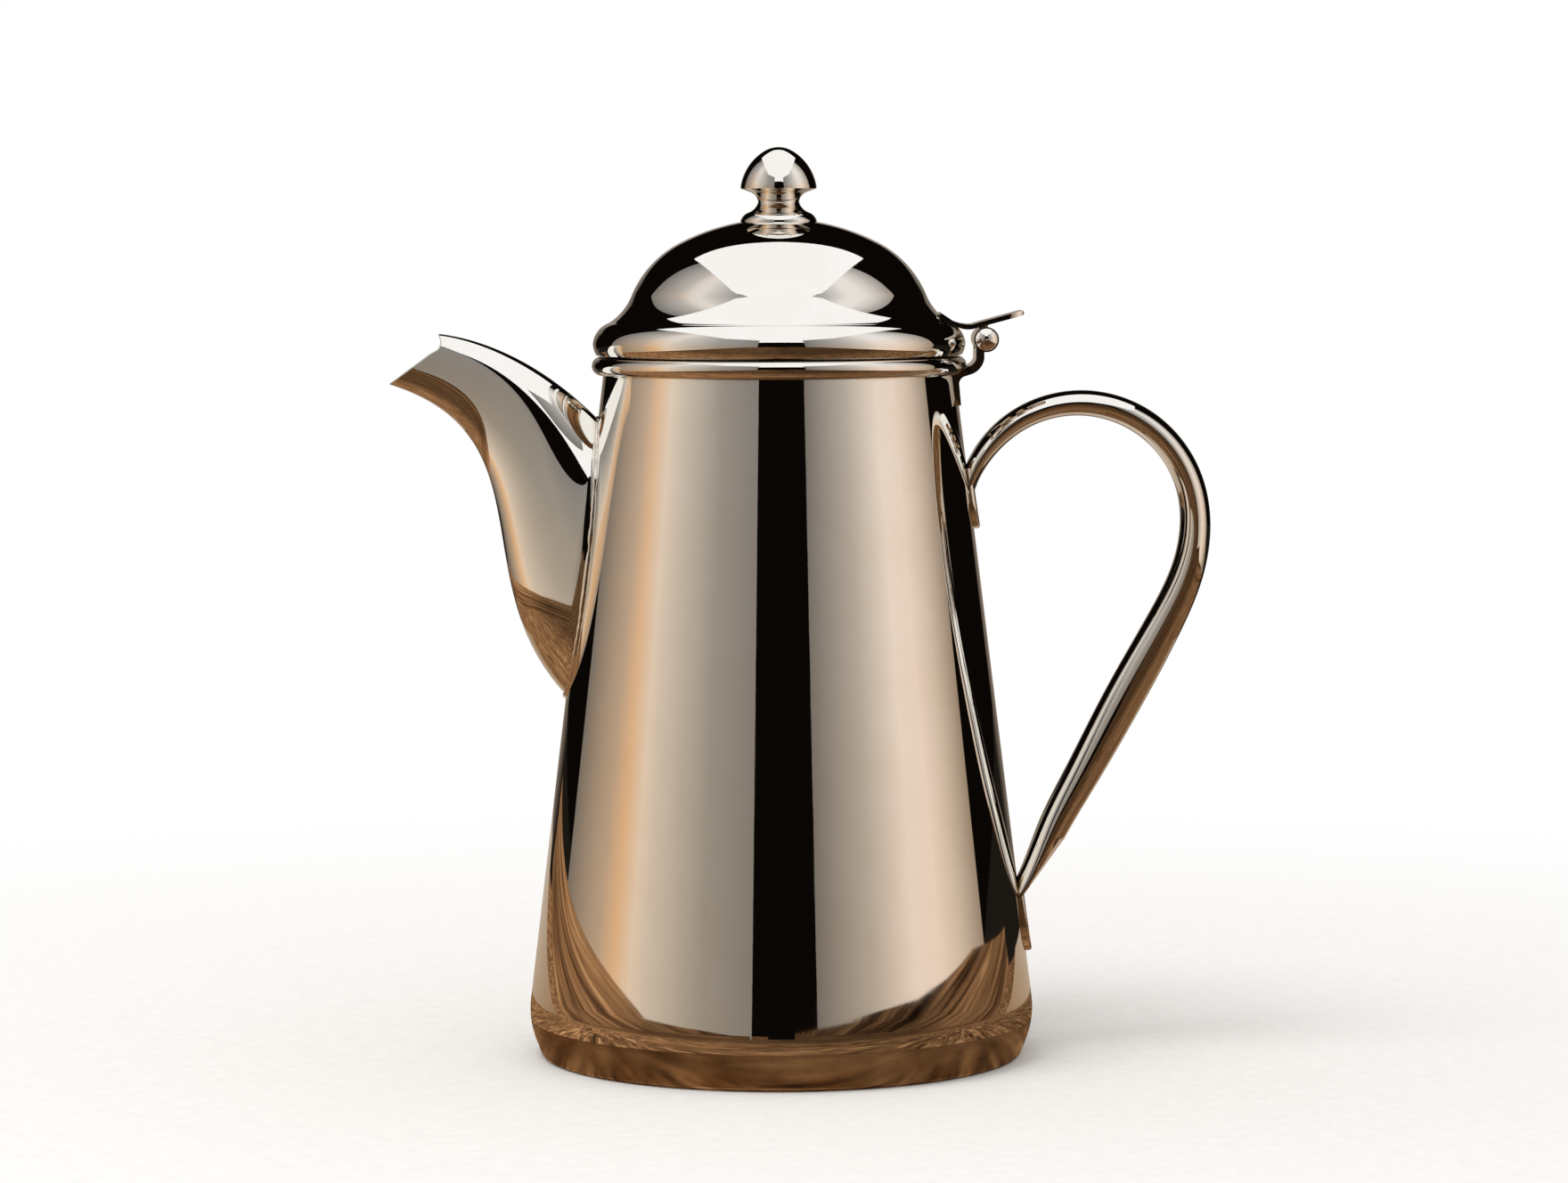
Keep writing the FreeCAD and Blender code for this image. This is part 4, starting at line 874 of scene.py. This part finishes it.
def tongue_faces(wide, tall, first):
    """Faces of the strap: its top, its bottom and the skirt between them."""
    size = wide * tall
    faces = []
    for j in range(tall - 1):
        for i in range(wide - 1):
            quad = [j * wide + i, j * wide + i + 1, (j + 1) * wide + i + 1, (j + 1) * wide + i]
            faces += [[first + v for v in quad], [first + size + v for v in quad[::-1]]]
    rim = (list(range(wide)) + [j * wide + wide - 1 for j in range(1, tall)]
           + list(range(size - 2, size - wide - 1, -1)) + [j * wide for j in range(tall - 2, 0, -1)])
    for a, b in zip(rim, rim[1:] + rim[:1]):
        faces.append([first + a, first + b, first + size + b, first + size + a])
    return faces


handle_points, handle_faces = list(tube_points), list(tube_faces)
for tip in (UPPER_TIP, LOWER_TIP):
    points, wide_count, tall_count = tongue_grid(tip)
    handle_faces += tongue_faces(wide_count, tall_count, len(handle_points))
    handle_points += points
grip = new_piece("bent_handle", handle_points, faces=handle_faces)
grip.data.materials.append(wall_silver)
show(smooth(grip, 50), "pot", "polished_silver", "handle")

# %% [markdown]
# ## Hinge
# The hinge is a strap soldered behind the rim, a strip on the lid with the thumb lever, and a rivet through
# three knuckles. These are small filed pieces whose solids have the right shape. A copy of each solid is
# merged, its sharp corners are broken with a narrow bevel, because a mirror edge always catches a thin light,
# and it gets the filed and buffed finish. The screw and the washer under the lid stay as they are, in brass.

# %% Hinge and fixing
def filed_copy(node, name, edge_mm):
    """A merged copy of a solid with its edges broken."""
    piece = put(name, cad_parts[node].data.copy())
    piece.data.materials.clear()
    piece.data.materials.append(cast_silver)
    break_edges(smooth(piece, 28), edge_mm, 2, 35, harden=True)
    return piece


show(filed_copy("hinge_body_leaf", "hinge_strap", 0.22), "pot", "polished_silver", "hinge_body_leaf")
show(filed_copy("hinge_lid_leaf", "thumb_lever", 0.22), "lid", "polished_silver", "hinge_lid_leaf")
show(filed_copy("hinge_pin", "hinge_rivet", 0.12), "pot", "polished_silver", "hinge_pin")
for node in ("knob_screw", "knob_washer"):
    for material_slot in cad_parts[node].material_slots:
        material_slot.material = brass
    print(node, "keeps its solid, in", brass.name)

# %% [markdown]
# ## Studio
# A mirror shows the room, so the room is part of the finish. The pot stands in a light tent: two cloth walls
# left and right, brightest beside the pot and warmer low down, which draw in towards the front, and a white
# sky over it. The gap at the front is dark, and so is the back but for one dim cloth. The table is walnut,
# with a low ledge that colours the bottom of the wall and a pale cloth behind the pot. All this is seen by
# reflections only. The camera sees a plain pale floor with the shadow of the pot, running out into white.

# %% Cards and cloths
def glow(tree, colour, strength=1.0):
    """Ends a material as an even light of its own."""
    surface(tree, add(tree, "ShaderNodeEmission", {"Color": colour, "Strength": strength}))


def card(name, corners, material):
    """A flat part of the studio that only reflections see; its corners are in metres."""
    mesh = bpy.data.meshes.new(name)
    mesh.from_pydata(corners, [], [list(range(i, i + 4)) for i in range(0, len(corners), 4)])
    mesh.materials.append(material)
    piece = put(name, mesh)
    piece.visible_camera = piece.visible_diffuse = piece.visible_shadow = False
    piece.visible_transmission = piece.visible_volume_scatter = False


def lit_cloth(name, *pairs):
    """Cloth wall lit from outside: its colour by the angle from the front, in degrees, as seen from the pot."""
    material, tree = new_material(name)
    way = parts_of(tree, place_in(tree))
    angle = maths(tree, "ARCTAN2", maths(tree, "ABSOLUTE", way["X"]), maths(tree, "MULTIPLY", way["Y"], -1.0))
    colour = stops(tree, maths(tree, "DIVIDE", angle, math.pi),
                   *[(degrees / 180, shade) for degrees, shade in pairs])
    warmth = ranged(tree, way["Z"], 0.1, 0.8, 1.3, 0.3)
    glow(tree, add(tree, "ShaderNodeHueSaturation", {"Color": colour, "Saturation": warmth}).outputs[0])
    return material


right_cloth = lit_cloth("tent cloth, right", (16, "#7a726b"), (42, "#b8ada2"), (64, "#eedfd2"), (77, "#eeddcf"),
                        (90, "#d5c5b6"), (108, "#9b8c7e"))
left_cloth = lit_cloth("tent cloth, left", (13, "#878079"), (36, "#9d958b"), (64, "#d3c6b8"), (72, "#e5d3c1"),
                       (82, "#e2c1a3"), (93, "#bea996"), (124, "#7a736b"))
# The dark card stands for the unlit room round the tent: painted shade, seen only in reflections.
dark, tree = new_material("painted dark of the unlit room")
glow(tree, linear("#0a0705"))
table_cloth = lit_cloth("pale cloth behind the pot", (96, "#6b543f"), (122, "#a5907b"), (180, "#cdc3b8"))
back_cloth = lit_cloth("tent cloth, back", (150, "#1d1a17"), (162, "#756c63"), (180, "#a89d91"))
print("cloths", [cloth.name for cloth in (right_cloth, left_cloth, table_cloth, back_cloth)])

# %% Tent
TENT_X, TENT_TOP, TABLE_X, TABLE_Z = 0.8, 1.37, 0.355, 0.00005
LEFT_GAP, RIGHT_GAP = 0.342, 0.424
BACK_X, BACK_Y, BACK_TOP, DARK_TOP = 0.6, 1.3, 0.48, 1.5


def flat(x_one, x_two, y_front, y_back, z=TABLE_Z):
    """Corners of a level card, on the table if nothing else is said."""
    return [(x_one, y_front, z), (x_two, y_front, z), (x_two, y_back, z), (x_one, y_back, z)]


def hung(line, top=TENT_TOP):
    """Cloth hung along a line on the floor, from the top of the tent if nothing else is said."""
    return [corner for (x, y), (x_next, y_next) in zip(line, line[1:])
            for corner in ((x, y, 0), (x_next, y_next, 0), (x_next, y_next, top), (x, y, top))]


RIGHT_END, LEFT_END, BEND, GAP_Y = 0.26, 0.54, -0.95, -1.48
card("tent_right", hung([(TENT_X, RIGHT_END), (TENT_X, BEND), (RIGHT_GAP, GAP_Y)])
     + flat(TABLE_X, TENT_X, GAP_Y, RIGHT_END), right_cloth)
card("tent_left", hung([(-TENT_X, LEFT_END), (-TENT_X, BEND), (-LEFT_GAP, GAP_Y)])
     + flat(-TENT_X, -TABLE_X, GAP_Y, LEFT_END), left_cloth)
card("tent_back", hung([(-BACK_X, BACK_Y), (BACK_X, BACK_Y)], BACK_TOP), back_cloth)
ROOM_X, ROOM_FRONT, ROOM_BACK = 2.6, -4.0, 1.4
card("tent_dark", hung([(-ROOM_X, ROOM_FRONT), (-ROOM_X, ROOM_BACK), (ROOM_X, ROOM_BACK), (ROOM_X, ROOM_FRONT),
                        (-ROOM_X, ROOM_FRONT)], DARK_TOP), dark)
SKY_FRONT, SKY_BACK = -2.1, 0.84
card("tent_roof", flat(-ROOM_X, -TENT_X, ROOM_FRONT, ROOM_BACK, TENT_TOP)
     + flat(TENT_X, ROOM_X, ROOM_FRONT, ROOM_BACK, TENT_TOP)
     + flat(-TENT_X, TENT_X, ROOM_FRONT, SKY_FRONT, TENT_TOP)
     + flat(-TENT_X, TENT_X, SKY_BACK, ROOM_BACK, TENT_TOP), dark)
print(f"tent {2 * TENT_X:.1f} m wide, sky {SKY_BACK - SKY_FRONT:.2f} m long")


# %% Table
def walnut(name, grain):
    """Oiled walnut that glows as it is lit: bright beside the cloth walls, dark in front and under the pot."""
    material, tree = new_material(name)
    place = place_in(tree)
    fibre = noise(tree, stretched(tree, place, grain), 1.0, 8.0, Roughness=0.62, Distortion=1.2)
    shade = stops(tree, fibre, (0.34, "#23160d"), (0.46, "#60432b"), (0.56, "#866242"), (0.7, "#c0966a"))
    way = parts_of(tree, place)
    far = add(tree, "ShaderNodeVectorMath", {0: place}, operation="LENGTH").outputs["Value"]
    # Painted light and shade on the table: brighter towards the left and right, darker in front, brighter close
    # round the foot and darkest right under it.
    left = ranged(tree, way["X"], -0.085, 0.03, 1.55, 0.9)
    right = ranged(tree, way["X"], 0.05, 0.6, 1.0, 1.3)
    front = ranged(tree, way["Y"], -0.22, -0.08, 0.4, 1.0)
    near = ranged(tree, far, 0.056, 0.08, 1.45, 1.0)
    shaded = ranged(tree, far, 0.052, 0.0545, 0.4, 1.0)
    power = left
    for share in (right, front, near, shaded):
        power = maths(tree, "MULTIPLY", power, share)
    glow(tree, shade, power)
    return material


NEAR, LEFT_FAR, RIGHT_FAR, CLOTH_X, CLOTH_Y = -3.4, 0.45, 0.25, 0.25, 0.1
card("table_top", flat(-TABLE_X, TABLE_X, NEAR, CLOTH_Y) + flat(-TABLE_X, -CLOTH_X, CLOTH_Y, LEFT_FAR)
     + flat(CLOTH_X, TABLE_X, CLOTH_Y, RIGHT_FAR), walnut("walnut table, sawn and oiled", (28.0, 220.0, 1.0)))
card("table_cloth", flat(-CLOTH_X, CLOTH_X, CLOTH_Y, RIGHT_END) + flat(-CLOTH_X, 0, RIGHT_END, LEFT_END),
     table_cloth)
card("table_back", flat(-TABLE_X, -CLOTH_X, LEFT_FAR, LEFT_END) + flat(CLOTH_X, TABLE_X, RIGHT_FAR, RIGHT_END)
     + flat(-ROOM_X, 0, LEFT_END, ROOM_BACK) + flat(0, ROOM_X, RIGHT_END, ROOM_BACK), back_cloth)
card("table_front", flat(-ROOM_X, ROOM_X, ROOM_FRONT, NEAR), dark)


def ledge_top(x, y):
    """Height of the wooden ledge beside the table, which rises to the front and falls off at the back right."""
    if x < 0:
        return 0.031 - 0.05 * min(y + 0.2, 0)
    return max(0.032 - 0.064 * min(y + 0.13, 0) - 0.08 * max(y, 0), 0)


ledges = []
for x, back in ((TABLE_X, RIGHT_END), (-TABLE_X, LEFT_END)):
    ends = np.linspace(NEAR, back, 33)
    for near, far in zip(ends, ends[1:]):
        ledges += [(x, near, 0), (x, far, 0), (x, far, ledge_top(x, far)), (x, near, ledge_top(x, near))]
card("table_ledge", ledges, walnut("walnut ledge, sawn and oiled", (1.2, 1.2, 200.0)))
print(f"table {2 * TABLE_X:.2f} m wide, its ledge {1000 * ledge_top(-1, 0):.0f} mm high beside the pot")

# %% [markdown]
# The floor is a pale diffuse disc that fades to pure white with the distance, so no horizon shows. For the
# camera and for reflections the white is a plain strength of 1. The world gives an even soft light, and one big
# soft lamp over the left shoulder makes the shadow. Lamps are kept out of reflections: the tent does that part.

# %% Floor and world
def seen_directly(tree):
    """1 for rays of the camera and reflections, 0 for those that gather light."""
    ray = add(tree, "ShaderNodeLightPath").outputs
    either = maths(tree, "ADD", ray["Is Camera Ray"], ray["Is Glossy Ray"])
    return add(tree, "ShaderNodeMath", {0: either, 1: ray["Is Transmission Ray"]}, operation="ADD",
               use_clamp=True).outputs[0]


FADE_START, FADE_END, SPECK_MM, FLOOR_R, WHITE = 0.1, 0.5, 4.0, 6.0, (1, 1, 1, 1)
floor_mat, tree = new_material("pale matt floor")
place = place_in(tree)
far = add(tree, "ShaderNodeVectorMath", {0: place}, operation="LENGTH").outputs["Value"]
fade = ranged(tree, far, FADE_START, FADE_END, 0.0, 1.0, interpolation_type="SMOOTHSTEP")
tone = stops(tree, noise(tree, place, 1000 / SPECK_MM, 3.0), (0.3, "#f1efec"), (0.7, "#f6f4f1"))
matt = add(tree, "ShaderNodeBsdfDiffuse", {"Color": tone})
white = add(tree, "ShaderNodeEmission", {"Color": WHITE, "Strength": 1.0})
surface(tree, add(tree, "ShaderNodeMixShader", {
    0: maths(tree, "MULTIPLY", fade, seen_directly(tree)), 1: matt.outputs[0], 2: white.outputs[0]}))

disc = bmesh.new()
bmesh.ops.create_circle(disc, cap_ends=True, segments=128, radius=FLOOR_R)
floor_mesh = bpy.data.meshes.new("floor")
disc.to_mesh(floor_mesh)
disc.free()
floor_mesh.materials.append(floor_mat)
put("floor", floor_mesh)

world = bpy.data.worlds.new("studio")
scene.world = world
world.use_nodes = True
tree = world.node_tree
tree.nodes.clear()
soft = add(tree, "ShaderNodeBackground", {"Color": linear("#ecebea"), "Strength": 0.98})
white = add(tree, "ShaderNodeBackground", {"Color": WHITE, "Strength": 1.0})
blend = add(tree, "ShaderNodeMixShader", {0: seen_directly(tree), 1: soft.outputs[0], 2: white.outputs[0]})
add(tree, "ShaderNodeOutputWorld", {"Surface": blend.outputs[0]})
print("floor and world white for the camera")


# %% Lamp and camera
LAMP_AT, LAMP_AIM = Vector((-0.5, -0.5, 1.5)), Vector((0, 0, 0.05))
lamp = bpy.data.lights.new("key_lamp", "AREA")
lamp.shape, lamp.size, lamp.energy = "DISK", 0.9, 9.0
holder = put("key_lamp", lamp)
holder.location = LAMP_AT
holder.rotation_euler = (LAMP_AIM - LAMP_AT).to_track_quat("-Z", "Y").to_euler()
holder.visible_glossy = False

PITCH, ROLL, EYE = 4.05, -0.19, (0.0009, -1.0716, 0.17855)
camera = bpy.data.cameras.new("photo_camera")
camera.sensor_width, camera.lens = 36.0, 111.477
viewer = put("photo_camera", camera)
viewer.matrix_world = (Matrix.Translation(EYE) @ Matrix.Rotation(math.radians(90 - PITCH), 4, "X")
                       @ Matrix.Rotation(math.radians(ROLL), 4, "Z"))
scene.camera = viewer
print("camera", tuple(round(v, 4) for v in viewer.location), "looks down by", PITCH, "degrees")

# %% [markdown]
# The scene is brought up to date at the end.

# %% End
bpy.context.view_layer.update()
